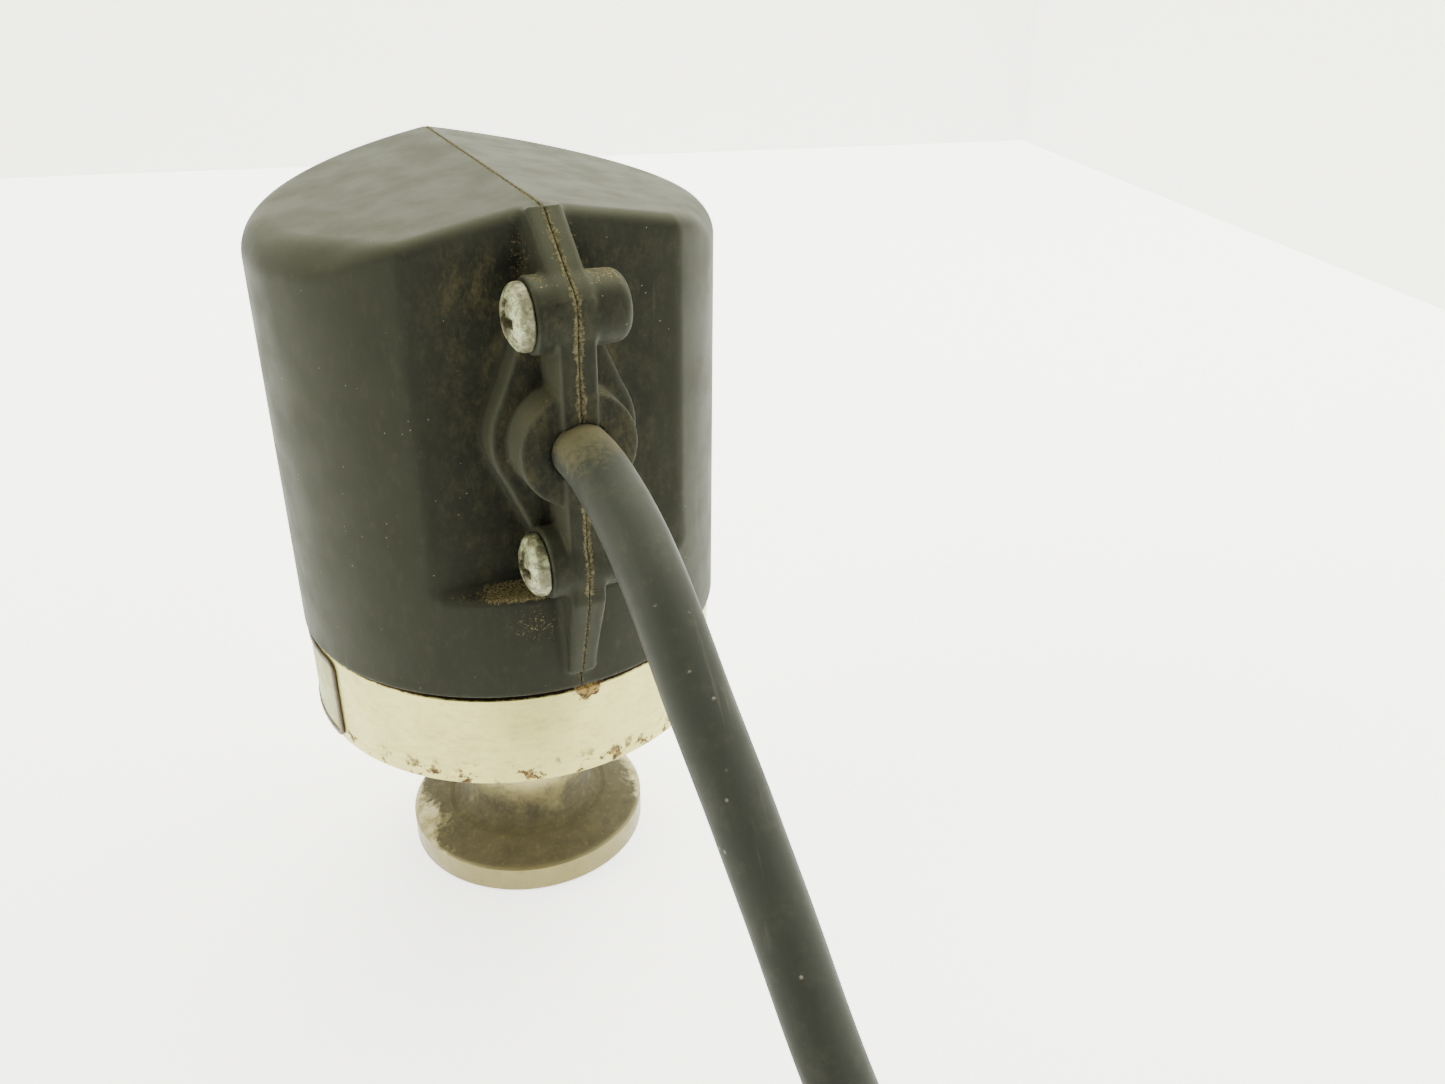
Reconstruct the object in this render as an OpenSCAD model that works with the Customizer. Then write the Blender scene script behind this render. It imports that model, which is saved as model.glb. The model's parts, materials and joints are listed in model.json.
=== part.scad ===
// Motorised actuator head: a geared motor in a split plastic cover turns a threaded
// gear, which pushes a stem down through the neck of a clamp ferrule.
// Origin: centre of the ferrule's flat mating face. +Z up the body, cable leaves along -Y.

/* [Ferrule] */
// Radius of the clamp flange
flange_r = 20; // [18:0.5:22]
// Height of the flange's straight rim
rim_h = 4.6; // [4:0.1:5.2]
// Outer radius of the neck
neck_r = 10.3; // [10:0.1:11]
// Radius of the recess for a centring ring
recess_r = 13.1; // [12:0.1:14]
// Depth of the recess for a centring ring
recess_d = 2.6; // [2:0.1:3]

/* [Base] */
// Outer radius of the plated base ring
ring_r = 31.8; // [31.4:0.1:32.2]
// Height of the base ring's lower face
ring_z = 32.3; // [32:0.1:33]
// Height of the base ring's shoulder, under the gasket
shoulder_z = 47.8; // [47.4:0.1:48.2]
// Thickness of the gasket between ring and cover
gasket_t = 0.5; // [0.3:0.1:0.8]

/* [Cover] */
// Outer radius of the cover
cover_r = 32.5; // [32.2:0.1:33]
// Wall thickness of the cover
wall = 2.5; // [2:0.1:2.8]
// Height of the roof's ridge
ridge_z = 115.5; // [114:0.5:118]
// Fall of the roof per unit of distance from the ridge
roof_slope = 0.18; // [0.1:0.01:0.22]
// Distance of the flat front from the axis
front_y = 26.9; // [26.5:0.1:27.5]
// Height of the ledge below the flat front
ledge_z = 64.2; // [62:0.5:66]

/* [Flange of the split] */
// Thickness of each cover's half of the front flange
fin_t = 2.4; // [2:0.1:2.8]
// Distance of the flange's front edge from the axis
fin_y = 37.7; // [37:0.1:38.5]
// Distance of the screw axes from the body axis
boss_y = 33.5; // [33:0.1:34]
// Height of the upper screw
upper_boss_z = 104.1; // [103:0.1:105]
// Height of the lower screw
lower_boss_z = 70.2; // [70:0.1:72]
// Radius of the screw bosses
boss_r = 4.8; // [4.6:0.1:5]
// Height of the cable gland
gland_z = 87; // [86:0.5:88]

/* [Cable] */
// Diameter of the cable
cable_d = 7.7; // [7:0.1:8]
// Mean radius of the stored coil
coil_mid_r = 41; // [39:0.5:42]

/* [Drive] */
// Gear module
gear_m = 0.5; // [0.5:0.01:0.5]
// Teeth of the motor pinion and of both gear pinions
pinion_teeth = 12; // [12:1:12]
// Teeth of the first and the second gear
wheel_teeth = 32; // [32:1:32]
// Teeth of the threaded output gear
output_teeth = 58; // [58:1:58]
// Radius of the push stem
stem_r = 4; // [3.8:0.1:4]
// Height of the stem's tip when it is drawn in
stem_tip_z = 8; // [7:0.5:9]
// Radius of the motor
motor_r = 13.5; // [12.5:0.5:13.5]

/* [Hidden] */

$fn = 96;
// Small overlap that fuses touching shapes of one solid
fuse = 0.2;
cable_r = cable_d / 2;

// Base ring and neck
floor_t = 3;
floor_z = ring_z + floor_t;
ring_inner_r = 26.6;
spigot_r = 29.2;
spigot_top = shoulder_z + 4.6;
groove_z = shoulder_z + 1.5;
groove_h = 2;
groove_r = 28.1;
neck_thread_r = 9;
neck_top = 38.9;
throat_r = 7.5;
throat_top = 24.2;
seal_z = throat_top + 1.4;
bush_z = 28;
bush_r = 6;

// Cover
cover_z = shoulder_z + gasket_t;
gland_face = -37;
gland_disc_r = 7.8;
gland_plate_r = 9.8;
gland_plate_y = -31.3;
grommet_r = 6;
boss_left_x = -4.9;
boss_right_x = 7.6;
screw_r = 2.5;
insert_r = 3.4;
insert_end = 6.2;

// Drive: plates, gears and their places
lower_plate_z = 50;
upper_plate_z = 66;
plate_t = 2;
plate_r = 26;
pillar_ring_r = 22;
pillar_angles = [90, 210, 330];
wheel_r = gear_m * wheel_teeth / 2;
pinion_r = gear_m * pinion_teeth / 2;
output_r = gear_m * output_teeth / 2;
step = wheel_r + pinion_r;
axle_ring_r = output_r + pinion_r;
motor_y = 13.8;
motor_pos = [0, motor_y];
// Angle of the first axle, a step away from the motor's axis
axle_1_a = 90 - acos((axle_ring_r ^ 2 + motor_y ^ 2 - step ^ 2) / (2 * axle_ring_r * motor_y));
// Angle of the second axle, a step away from the first
axle_2_a = axle_1_a - 2 * asin(step / (2 * axle_ring_r));
axle_1 = [axle_ring_r * cos(axle_1_a), axle_ring_r * sin(axle_1_a)];
axle_2 = [axle_ring_r * cos(axle_2_a), axle_ring_r * sin(axle_2_a)];
axle_r = 1;
gear_bore_r = 1.06;
gear_hub_r = 1.9;
journal_r = 5.5;
bush_bore_r = 5.55;
plate_bush_r = 7.5;
output_hub_r = 7;
thread_bore_r = stem_r + 0.05;

// Motor
motor_z = upper_plate_z + plate_t;
motor_h = 24;
can_t = 0.8;
shaft_r = 1;
motor_ear_x = 17.5;

// Board
board_z = 98;
board_t = 1.6;
board_r = 27;
board_pillar_pos = [[23.5, 5.9], [-23.5, 5.9], [22.5, -9.8], [-22.5, -9.8]];
terminal_size = [18, 8, 9];
terminal_y = -13;
core_r = 0.9;
core_pitch = 5;

// Limit switches beside the trip arm
arm_z = 45.7;
arm_t = 1.6;
arm_hub_z = 45.5;
arm_screw_z = 48.2;
arm_reach = 16.4;
switch_x = 18;
switch_size = [6, 12.8, 5.4];
switch_z = [43.8, 37.8];
plunger_up = 2.7;
plunger_r = 0.8;

// Cable: route of the stretch that isn't coiled, from the gland to the start of the coil
coil_lift = 1;
run_z = coil_lift + cable_r;
// Half the spacing of the coil's two lower rings, and the rise of its upper layer over them
coil_side = 3.9;
coil_rise = 6.9;
coil_out_r = coil_mid_r + coil_side;
coil_in_r = coil_mid_r - coil_side;
run_end = [18, -139];
coil_centre = [run_end[0] - coil_out_r, run_end[1]];
cable_route = [
    [0, gland_face, gland_z], [0, -40, gland_z], [0, -44, 86.6], [0, -49.5, 85.2], [0, -55, 83],
    [0, -60.5, 79.8], [0.2, -65.5, 75.5], [0.6, -70, 70.7], [1.2, -74, 66], [1.9, -78, 61],
    [2.5, -82, 56], [3.1, -86, 51], [3.6, -90, 46], [4.1, -94, 41], [4.8, -98, 36], [5.8, -102, 31],
    [7.2, -106, 26], [9, -110, 21.2], [11, -114, 16.8], [13, -118, 13], [15, -122.5, 9.7],
    [16.8, -128, 7], [17.8, -133.5, 5.4], [run_end[0], run_end[1], run_z]];
// The coil's upper layer runs clockwise from the first angle to the second
layer_start = -300;
layer_end = -590;
tie_angle = 200;

// ---------------------------------------------------------------- shared shapes

// Cylinders along Z, X and Y, given by their two ends
module rod_z(r, z0, z1, at = [0, 0], fn = 48) {
    translate([at[0], at[1], z0])
        cylinder(r = r, h = z1 - z0, $fn = fn);
}

module rod_x(r, x0, x1, at, r2 = 0) {
    translate([x0, at[0], at[1]])
        rotate([0, 90, 0])
            cylinder(r1 = r, r2 = r2 == 0 ? r : r2, h = x1 - x0, $fn = 48);
}

module rod_y(r, y0, y1, at) {
    translate([at[0], y1, at[1]])
        rotate([90, 0, 0])
            cylinder(r = r, h = y1 - y0, $fn = 64);
}

module tube_z(r, bore, z0, z1, at = [0, 0]) {
    difference() {
        rod_z(r, z0, z1, at, 64);
        rod_z(bore, z0 - 1, z1 + 1, at, 64);
    }
}

// Box given by its lowest and highest corners
module block(low, high) {
    translate(low)
        cube(high - low);
}

// Involute spur gear outline, a tooth centred on +X
function roll(rb, r) = sqrt(max(r * r / (rb * rb) - 1, 0));
function flank_turn(rb, r) = roll(rb, r) * 180 / PI - atan(roll(rb, r));
function tooth_half(n, r) =
    let (rp = gear_m * n / 2)
    let (rb = rp * cos(20))
    90 / n - 0.055 / rp * 180 / PI + flank_turn(rb, rp) - flank_turn(rb, max(r, rb));
function polar(r, a) = [r * cos(a), r * sin(a)];
function gear_outline(n) =
    let (rp = gear_m * n / 2)
    let (tip = rp + 0.75 * gear_m)
    let (root = rp - gear_m)
    let (radii = [root, max(rp * cos(20), root + 0.05), rp, tip])
    [for (k = [0 : n - 1])
        each concat(
            [for (r = radii) polar(r, k * 360 / n - tooth_half(n, r))],
            [for (i = [3 : -1 : 0]) polar(radii[i], k * 360 / n + tooth_half(n, radii[i]))])];

module spur(n, z0, z1, turn) {
    translate([0, 0, z0])
        rotate([0, 0, turn])
            linear_extrude(z1 - z0)
                polygon(gear_outline(n));
}

// Direction from one point to another in plan
function heading(a, b) = atan2(b[1] - a[1], b[0] - a[0]);

// Round tube swept along a list of points
function unit(v) = v / norm(v);
function along(path, i) = unit(path[min(i + 1, len(path) - 1)] - path[max(i - 1, 0)]);
module sweep_tube(path, r, side, sides = 8) {
    rings = [for (i = [0 : len(path) - 1])
        let (t = along(path, i))
        let (u = unit(side - t * (side * t)))
        let (v = cross(t, u))
        [for (k = [0 : sides - 1]) path[i] + r * (u * cos(360 * k / sides) + v * sin(360 * k / sides))]];
    last = (len(path) - 1) * sides;
    walls = [for (i = [0 : len(path) - 2]) for (k = [0 : sides - 1])
        [i * sides + k, i * sides + (k + 1) % sides, (i + 1) * sides + (k + 1) % sides, (i + 1) * sides + k]];
    caps = [[for (k = [sides - 1 : -1 : 0]) k], [for (k = [0 : sides - 1]) last + k]];
    polyhedron([for (ring = rings) each ring], concat(walls, caps), convexity = 6);
}

// Machine screw standing on a surface at z = 0, head up, shank down
module screw(head_r, head_h, shank_r, shank_l) {
    difference() {
        union() {
            cylinder(r = head_r, h = head_h, $fn = 48);
            translate([0, 0, -shank_l])
                cylinder(r = shank_r, h = shank_l + fuse, $fn = 48);
        }
        for (a = [0, 90])
            rotate([0, 0, a])
                translate([-head_r * 0.6, -head_r * 0.13, head_h * 0.45])
                    cube([head_r * 1.2, head_r * 0.26, head_h]);
    }
}

// ---------------------------------------------------------------- neck and base

module ferrule() {
    fillet = 3.2;
    back_z = 6.4;
    color("#8f8878")
        rotate_extrude($fn = 128)
            polygon(concat(
                [[recess_r, 0], [flange_r - 0.4, 0], [flange_r, 0.4], [flange_r, rim_h],
                 [flange_r - 0.5, rim_h + 0.4], [neck_r + fillet + 0.3, back_z]],
                [for (a = [260 : -20 : 180])
                    [neck_r + fillet + fillet * cos(a), back_z + fillet + fillet * sin(a)]],
                [[neck_r, ring_z], [neck_thread_r, ring_z], [neck_thread_r, neck_top],
                 [bush_r, neck_top], [bush_r, seal_z], [stem_r + 0.5, seal_z],
                 [stem_r + 0.5, throat_top], [throat_r, throat_top], [throat_r, recess_d],
                 [recess_r, recess_d]]));
}

module ferrule_nut() {
    color("#9a9b98")
        difference() {
            translate([0, 0, floor_z])
                cylinder(r = 13, h = 3.4, $fn = 6);
            rod_z(neck_thread_r, floor_z - 1, floor_z + 4, [0, 0], 96);
        }
}

module stem_seal() {
    section_r = 0.97;
    color("#1c1c1c")
        translate([0, 0, seal_z + section_r])
            rotate_extrude($fn = 64)
                translate([stem_r + 0.05 + section_r, 0])
                    circle(r = section_r, $fn = 24);
}

module stem_bush() {
    color("#b08d57")
        tube_z(bush_r, stem_r + 0.04, bush_z, neck_top);
}

module base_ring() {
    edge = 0.5;
    color("#d9d4c0")
        difference() {
            rotate_extrude($fn = 128)
                polygon([
                    [neck_thread_r, ring_z], [ring_r - edge, ring_z], [ring_r, ring_z + edge],
                    [ring_r, shoulder_z - edge], [ring_r - edge, shoulder_z], [spigot_r, shoulder_z],
                    [spigot_r, groove_z], [groove_r, groove_z], [groove_r, groove_z + groove_h],
                    [spigot_r, groove_z + groove_h], [spigot_r, spigot_top], [ring_inner_r, spigot_top],
                    [ring_inner_r, floor_z], [neck_thread_r, floor_z]]);
            for (a = pillar_angles)
                translate([polar(pillar_ring_r, a)[0], polar(pillar_ring_r, a)[1], ring_z - 1]) {
                    cylinder(r = 1.6, h = floor_t + 2, $fn = 48);
                    cylinder(r = 3, h = 2.4, $fn = 48);
                }
        }
}

module base_gasket() {
    color("#202020")
        tube_z(ring_r - 0.6, spigot_r, shoulder_z, cover_z);
}

// Thin curved plate wrapped round the ring, with a raised border
module nameplate() {
    plate_from = 130;
    plate_sweep = 67;
    low = ring_z + 0.9;
    high = shoulder_z - 0.9;
    color("#c9c39a")
        rotate([0, 0, plate_from])
            rotate_extrude(angle = plate_sweep, $fn = 128)
                translate([ring_r, low])
                    square([0.5, high - low]);
}

// ---------------------------------------------------------------- cover

// Round body with the flat front above its ledge and the gabled roof, shrunk by the inset
module roofed_block(inset, bottom) {
    far = 2 * cover_r;
    top = ridge_z - inset * sqrt(1 + roof_slope * roof_slope);
    difference() {
        rod_z(cover_r - inset, bottom, ridge_z + 1, [0, 0], 128);
        block([-far, -far, ledge_z - inset], [far, -front_y + inset, ridge_z + 2]);
        rotate([90, 0, 0])
            linear_extrude(2 * far, center = true)
                polygon([[0, top], [far, top - roof_slope * far], [far, far * 3], [-far, far * 3],
                    [-far, top - roof_slope * far]]);
    }
}

module fin_blank() {
    translate([-fin_t, 0, 0])
        rotate([90, 0, 90])
            linear_extrude(2 * fin_t)
                polygon([[-front_y + 1.5, ridge_z - 1], [-front_y - 0.6, ridge_z], [-fin_y - 0.3, 106.5],
                    [-fin_y, 65], [-cover_r - 1, 51.5], [-cover_r + 1.5, 51.5], [-front_y + 1.5, ledge_z]]);
}

module gland_blank() {
    for (z = [upper_boss_z, lower_boss_z])
        rotate([90, 0, 0])
            translate([0, 0, front_y - 1])
                linear_extrude(-gland_plate_y - front_y + 1)
                    hull() {
                        translate([0, gland_z])
                            circle(r = gland_plate_r, $fn = 64);
                        translate([0, z])
                            circle(r = 3.4, $fn = 32);
                    }
    rod_y(gland_disc_r, gland_face, -front_y + 1, [0, gland_z]);
}

module cover_blank() {
    difference() {
        union() {
            roofed_block(0, cover_z);
            fin_blank();
            gland_blank();
            for (z = [upper_boss_z, lower_boss_z]) {
                rod_x(boss_r, boss_left_x, 0, [-boss_y, z]);
                rod_x(boss_r, 0, boss_right_x, [-boss_y, z], boss_r - 0.3);
            }
        }
        difference() {
            roofed_block(wall, cover_z - 1);
            tube_z(cover_r, groove_r + 0.25, groove_z + 0.2, groove_z + groove_h - 0.2);
        }
        rod_y(cable_r + 0.05, gland_face - 1, -front_y, [0, gland_z]);
        rod_y(grommet_r, gland_face + 2.5, -front_y + wall + 1, [0, gland_z]);
        for (z = [upper_boss_z, lower_boss_z]) {
            rod_x(screw_r + 0.1, boss_left_x - 1, 1, [-boss_y, z]);
            rod_x(insert_r, 0, insert_end, [-boss_y, z]);
        }
    }
}

// Strip inside the back wall of the left half that laps behind the right half
lap_z = [70, 96];
lap_y = [27.9, 29.2];
module lap_strip(high_y, x0, x1) {
    block([x0, lap_y[0], lap_z[0]], [x1, high_y, lap_z[1]]);
}

module cover_left() {
    color("#2c2d29") {
        intersection() {
            cover_blank();
            block([-60, -60, 0], [0, 60, 160]);
        }
        lap_strip(cover_r - wall + 0.4, -5, 0);
        lap_strip(lap_y[1], -1, 4);
    }
}

module cover_right() {
    color("#2a2b28")
        intersection() {
            cover_blank();
            block([0, -60, 0], [60, 60, 160]);
        }
}

module cover_screws() {
    head_h = 2.7;
    color("#b9b9b2")
        for (z = [upper_boss_z, lower_boss_z])
            translate([boss_left_x, -boss_y, z])
                rotate([0, -90, 0])
                    screw(4.25, head_h, screw_r, 10.6);
}

module cover_inserts() {
    color("#b5995a")
        for (z = [upper_boss_z, lower_boss_z])
            difference() {
                rod_x(insert_r, 0, insert_end, [-boss_y, z]);
                rod_x(screw_r, -1, insert_end + 1, [-boss_y, z]);
            }
}

module cable_grommet() {
    color("#1b1b1b")
        difference() {
            union() {
                rod_y(grommet_r, gland_face + 2.5, -front_y + wall, [0, gland_z]);
                rod_y(7.6, -front_y + wall, -front_y + wall + 2, [0, gland_z]);
            }
            rod_y(cable_r, gland_face, -20, [0, gland_z]);
        }
}

module cable_entry() {
    color("#26282a")
        rod_y(cable_r, gland_face, -19, [0, gland_z]);
}

// ---------------------------------------------------------------- chassis

module gear_plate(z) {
    difference() {
        rod_z(plate_r, z, z + plate_t, [0, 0], 96);
        rod_z(plate_bush_r, z - 1, z + plate_t + 1, [0, 0], 64);
        for (a = pillar_angles)
            rod_z(1.5, z - 1, z + plate_t + 1, polar(pillar_ring_r, a));
        for (p = [axle_1, axle_2])
            rod_z(axle_r, z - 1, z + plate_t + 1, p);
    }
}

module lower_plate() {
    color("#a5a7a8")
        difference() {
            gear_plate(lower_plate_z);
            rod_z(1.5, lower_plate_z - 1, lower_plate_z + plate_t + 1, [-16, 0]);
        }
}

module upper_plate() {
    color("#a5a7a8")
        difference() {
            intersection() {
                gear_plate(upper_plate_z);
                block([-plate_r, -front_y + wall + 0.5, 0], [plate_r, plate_r, 80]);
            }
            rod_z(3, upper_plate_z - 1, upper_plate_z + plate_t + 1, motor_pos);
            for (x = [-motor_ear_x, motor_ear_x])
                rod_z(1.25, upper_plate_z - 1, upper_plate_z + plate_t + 1, [x, motor_y]);
            for (p = board_pillar_pos)
                rod_z(1.5, upper_plate_z - 1, upper_plate_z + plate_t + 1, p);
        }
}

module chassis_pillars() {
    color("#b7b7b0")
        for (a = pillar_angles)
            difference() {
                union() {
                    rod_z(2.6, floor_z, lower_plate_z, polar(pillar_ring_r, a));
                    rod_z(1.5, lower_plate_z - 1, lower_plate_z + plate_t - 0.8, polar(pillar_ring_r, a));
                }
                rod_z(1.5, floor_z - 1, floor_z + 7, polar(pillar_ring_r, a));
            }
}

module chassis_screws() {
    color("#8e8f8c")
        for (a = pillar_angles)
            translate([polar(pillar_ring_r, a)[0], polar(pillar_ring_r, a)[1], ring_z + 1.4])
                rotate([180, 0, 0])
                    screw(2.8, 1.2, 1.5, 8);
}

module gear_pillars() {
    color("#b7b7b0")
        for (a = pillar_angles) {
            rod_z(2.6, lower_plate_z + plate_t, upper_plate_z, polar(pillar_ring_r, a));
            rod_z(1.5, lower_plate_z + plate_t - 0.8, upper_plate_z + plate_t, polar(pillar_ring_r, a));
        }
}

module gear_axles() {
    color("#c2c4c6")
        for (p = [axle_1, axle_2])
            rod_z(axle_r, lower_plate_z, upper_plate_z + plate_t, p);
}

module lower_bush() {
    color("#b08d57")
        tube_z(plate_bush_r, bush_bore_r, lower_plate_z, lower_plate_z + plate_t);
}

module upper_bush() {
    color("#b08d57")
        tube_z(plate_bush_r, bush_bore_r, upper_plate_z, upper_plate_z + plate_t);
}

module guide_rod() {
    color("#c2c4c6")
        rod_z(1.5, floor_z, lower_plate_z + plate_t, [-16, 0]);
}

// ---------------------------------------------------------------- moving drive

module output_gear() {
    color("#c0a15e")
        difference() {
            union() {
                spur(output_teeth, 53, 57, 0);
                rod_z(output_hub_r, 52.3, 65.7);
                rod_z(journal_r, lower_plate_z + 0.2, upper_plate_z + plate_t - 0.2);
            }
            rod_z(thread_bore_r, 45, 75, [0, 0], 64);
        }
}

module push_stem() {
    stem_top = upper_plate_z + 0.8;
    color("#c8c9c6")
        union() {
            rod_z(stem_r, stem_tip_z + 1, stem_top - 0.6, [0, 0], 64);
            translate([0, 0, stem_tip_z])
                cylinder(r1 = stem_r - 1, r2 = stem_r, h = 1, $fn = 64);
            translate([0, 0, stem_top - 0.6])
                cylinder(r1 = stem_r, r2 = stem_r - 0.6, h = 0.6, $fn = 64);
        }
}

module trip_arm() {
    color("#9fa3a6")
        difference() {
            union() {
                rod_z(6.4, arm_hub_z, arm_hub_z + 4);
                block([-19, -3, arm_z], [arm_reach, 3, arm_z + arm_t]);
            }
            rod_z(stem_r, 40, 52, [0, 0], 64);
            rod_z(1.58, 40, 52, [-16, 0]);
            rod_y(0.9, -7, -stem_r + 0.3, [0, arm_screw_z]);
        }
}

module arm_screw() {
    color("#55585a")
        rod_y(0.9, -6.6, -stem_r, [0, arm_screw_z]);
}

module compound_gear(at, pinion_z, wheel_z, pinion_turn, wheel_turn) {
    translate([at[0], at[1], 0])
        difference() {
            union() {
                spur(pinion_teeth, pinion_z[0], pinion_z[1], pinion_turn);
                spur(wheel_teeth, wheel_z[0], wheel_z[1], wheel_turn);
                rod_z(gear_hub_r, 52.3, 65.7);
            }
            rod_z(gear_bore_r, 50, 68);
        }
}

// Turn that puts a gap of a gear towards its driver, straight back along the direction
function gap_turn(teeth, direction) = direction + 180 + 180 / teeth;

// Turn that puts a gap of the mate at the place of the driver's nearest tooth
function mate_turn(driver_teeth, driver_turn, mate_teeth, direction) =
    let (off = direction - driver_turn)
    let (tooth_off = off - round(off * driver_teeth / 360) * 360 / driver_teeth)
    gap_turn(mate_teeth, direction) + tooth_off * driver_teeth / mate_teeth;

module second_gear() {
    toward = heading([0, 0], axle_2);
    color("#d6d2c4")
        compound_gear(axle_2, [52.6, 57.8], [58, 60.5],
            mate_turn(output_teeth, 0, pinion_teeth, toward), 0);
}

module first_gear() {
    toward = heading(axle_2, axle_1);
    color("#d6d2c4")
        compound_gear(axle_1, [57.6, 61.9], [62, 64.5],
            mate_turn(wheel_teeth, 0, pinion_teeth, toward), 0);
}

module motor_pinion() {
    toward = heading(axle_1, motor_pos);
    color("#c0a15e")
        translate([motor_pos[0], motor_pos[1], 0])
            difference() {
                spur(pinion_teeth, 61.6, 65.2, mate_turn(wheel_teeth, 0, pinion_teeth, toward));
                rod_z(shaft_r, 60, 67);
            }
}

module motor_shaft() {
    color("#c8c9c6")
        rod_z(shaft_r, 61.2, motor_z + motor_h + 1.6, motor_pos);
}

module rotor_magnet() {
    color("#3a3a3d")
        tube_z(6, shaft_r, motor_z + 3, motor_z + motor_h - 3, motor_pos);
}

// ---------------------------------------------------------------- motor

module stator_coil() {
    color("#a5622c")
        tube_z(motor_r - can_t - 0.2, 6.4, motor_z + 2.6, motor_z + motor_h - 2.6, motor_pos);
}

module motor_can() {
    color("#b4b6b6")
        difference() {
            union() {
                rod_z(motor_r, motor_z, motor_z + motor_h - 1, motor_pos, 96);
                hull()
                    for (x = [-motor_ear_x, motor_ear_x])
                        rod_z(3, motor_z, motor_z + 1, [x, motor_y], 32);
            }
            rod_z(motor_r - can_t, motor_z + 1.2, motor_z + motor_h, motor_pos, 96);
            rod_z(2.5, motor_z - 1, motor_z + 3, motor_pos);
            for (x = [-motor_ear_x, motor_ear_x])
                rod_z(1.3, motor_z - 1, motor_z + 3, [x, motor_y]);
        }
}

module motor_cap() {
    color("#b4b6b6")
        difference() {
            union() {
                rod_z(motor_r, motor_z + motor_h - 1, motor_z + motor_h, motor_pos, 96);
                rod_z(motor_r - can_t, motor_z + motor_h - 2.2, motor_z + motor_h, motor_pos, 96);
            }
            rod_z(2.5, motor_z, motor_z + motor_h + 1, motor_pos);
        }
}

module motor_screws() {
    color("#8e8f8c")
        for (x = [-motor_ear_x, motor_ear_x])
            translate([x, motor_y, motor_z + 1])
                screw(2.2, 1.6, 1.25, 3);
}

module motor_bushes() {
    color("#b08d57")
        for (z = [motor_z, motor_z + motor_h - 2.2])
            tube_z(2.5, shaft_r + 0.04, z, z + 2.2, motor_pos);
}

// ---------------------------------------------------------------- limit switches

module switch_bracket() {
    plate_x = switch_x + switch_size[0];
    color("#8f9294")
        difference() {
            union() {
                block([plate_x, -7.5, floor_z + 0.2], [plate_x + 0.9, 7.5, lower_plate_z]);
                block([switch_x + 1, 3.5, lower_plate_z - 0.6], [plate_x + 0.5, 7.5, lower_plate_z]);
            }
            for (z = switch_z)
                rod_x(1.1, plate_x - 1, plate_x + 2, [4.8, z + plunger_up]);
        }
}

module micro_switch(z) {
    difference() {
        block([switch_x, -6.4, z], [switch_x + switch_size[0], 6.4, z + switch_size[2]]);
        rod_x(plunger_r + 0.06, switch_x - 1, switch_x + 3, [0, z + plunger_up]);
        rod_x(1.1, switch_x - 1, switch_x + 8, [4.8, z + plunger_up]);
    }
}

module open_switch() {
    color("#26303c")
        micro_switch(switch_z[0]);
}

module closed_switch() {
    color("#26303c")
        micro_switch(switch_z[1]);
}

module switch_screws() {
    color("#8e8f8c")
        for (z = switch_z)
            translate([switch_x, 4.8, z + plunger_up])
                rotate([0, -90, 0])
                    screw(1.5, 0.9, 1.1, 6.8);
}

module plunger(z) {
    color("#b23a2c")
        rod_x(plunger_r, switch_x - 1, switch_x + 2, [0, z + plunger_up]);
}

module open_plunger() {
    plunger(switch_z[0]);
}

module closed_plunger() {
    plunger(switch_z[1]);
}

// ---------------------------------------------------------------- circuit board

module board_pillars() {
    color("#c9c6b4")
        for (p = board_pillar_pos) {
            difference() {
                rod_z(2, motor_z, board_z, p);
                rod_z(1.25, board_z - 6, board_z + 1, p);
            }
            rod_z(1.5, upper_plate_z + 0.4, motor_z + fuse, p);
        }
}

module circuit_board() {
    color("#2f6b3c")
        difference() {
            intersection() {
                rod_z(board_r, board_z, board_z + board_t, [0, 0], 96);
                block([-30, -21, board_z - 1], [30, 26, board_z + 3]);
            }
            for (p = board_pillar_pos)
                rod_z(1.35, board_z - 1, board_z + 3, p);
            for (k = [-1 : 1])
                rod_z(1.2, board_z - 1, board_z + 3, [k * core_pitch, -19.4]);
            for (x = [-6, 6])
                rod_z(1.1, board_z - 1, board_z + 3, [x, 17]);
        }
}

module board_screws() {
    color("#8e8f8c")
        for (p = board_pillar_pos)
            translate([p[0], p[1], board_z + board_t])
                screw(2.2, 1.4, 1.25, 5);
}

module terminal_block() {
    base = board_z + board_t;
    color("#3c7a4a")
        difference() {
            translate([-terminal_size[0] / 2, terminal_y - terminal_size[1] / 2, base])
                cube(terminal_size);
            for (k = [-1 : 1]) {
                rod_y(1.2, terminal_y - 6, terminal_y, [k * core_pitch, base + 2.6]);
                rod_z(1.6, base + 6, base + 10, [k * core_pitch, terminal_y]);
            }
        }
}

module terminal_screws() {
    color("#b9b9b2")
        for (k = [-1 : 1])
            difference() {
                rod_z(1.55, board_z + board_t + 6, board_z + board_t + 8, [k * core_pitch, terminal_y]);
                translate([k * core_pitch - 2, terminal_y - 0.25, board_z + board_t + 7.2])
                    cube([4, 0.5, 2]);
            }
}

module capacitor() {
    color("#2b4a6b")
        rod_z(5.4, motor_z + 0.2, board_z, [-14, -12.5], 64);
}

module relay() {
    base = board_z + board_t;
    color("#20242a")
        block([-6, 2, base], [6, 12, base + 8]);
}

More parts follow.
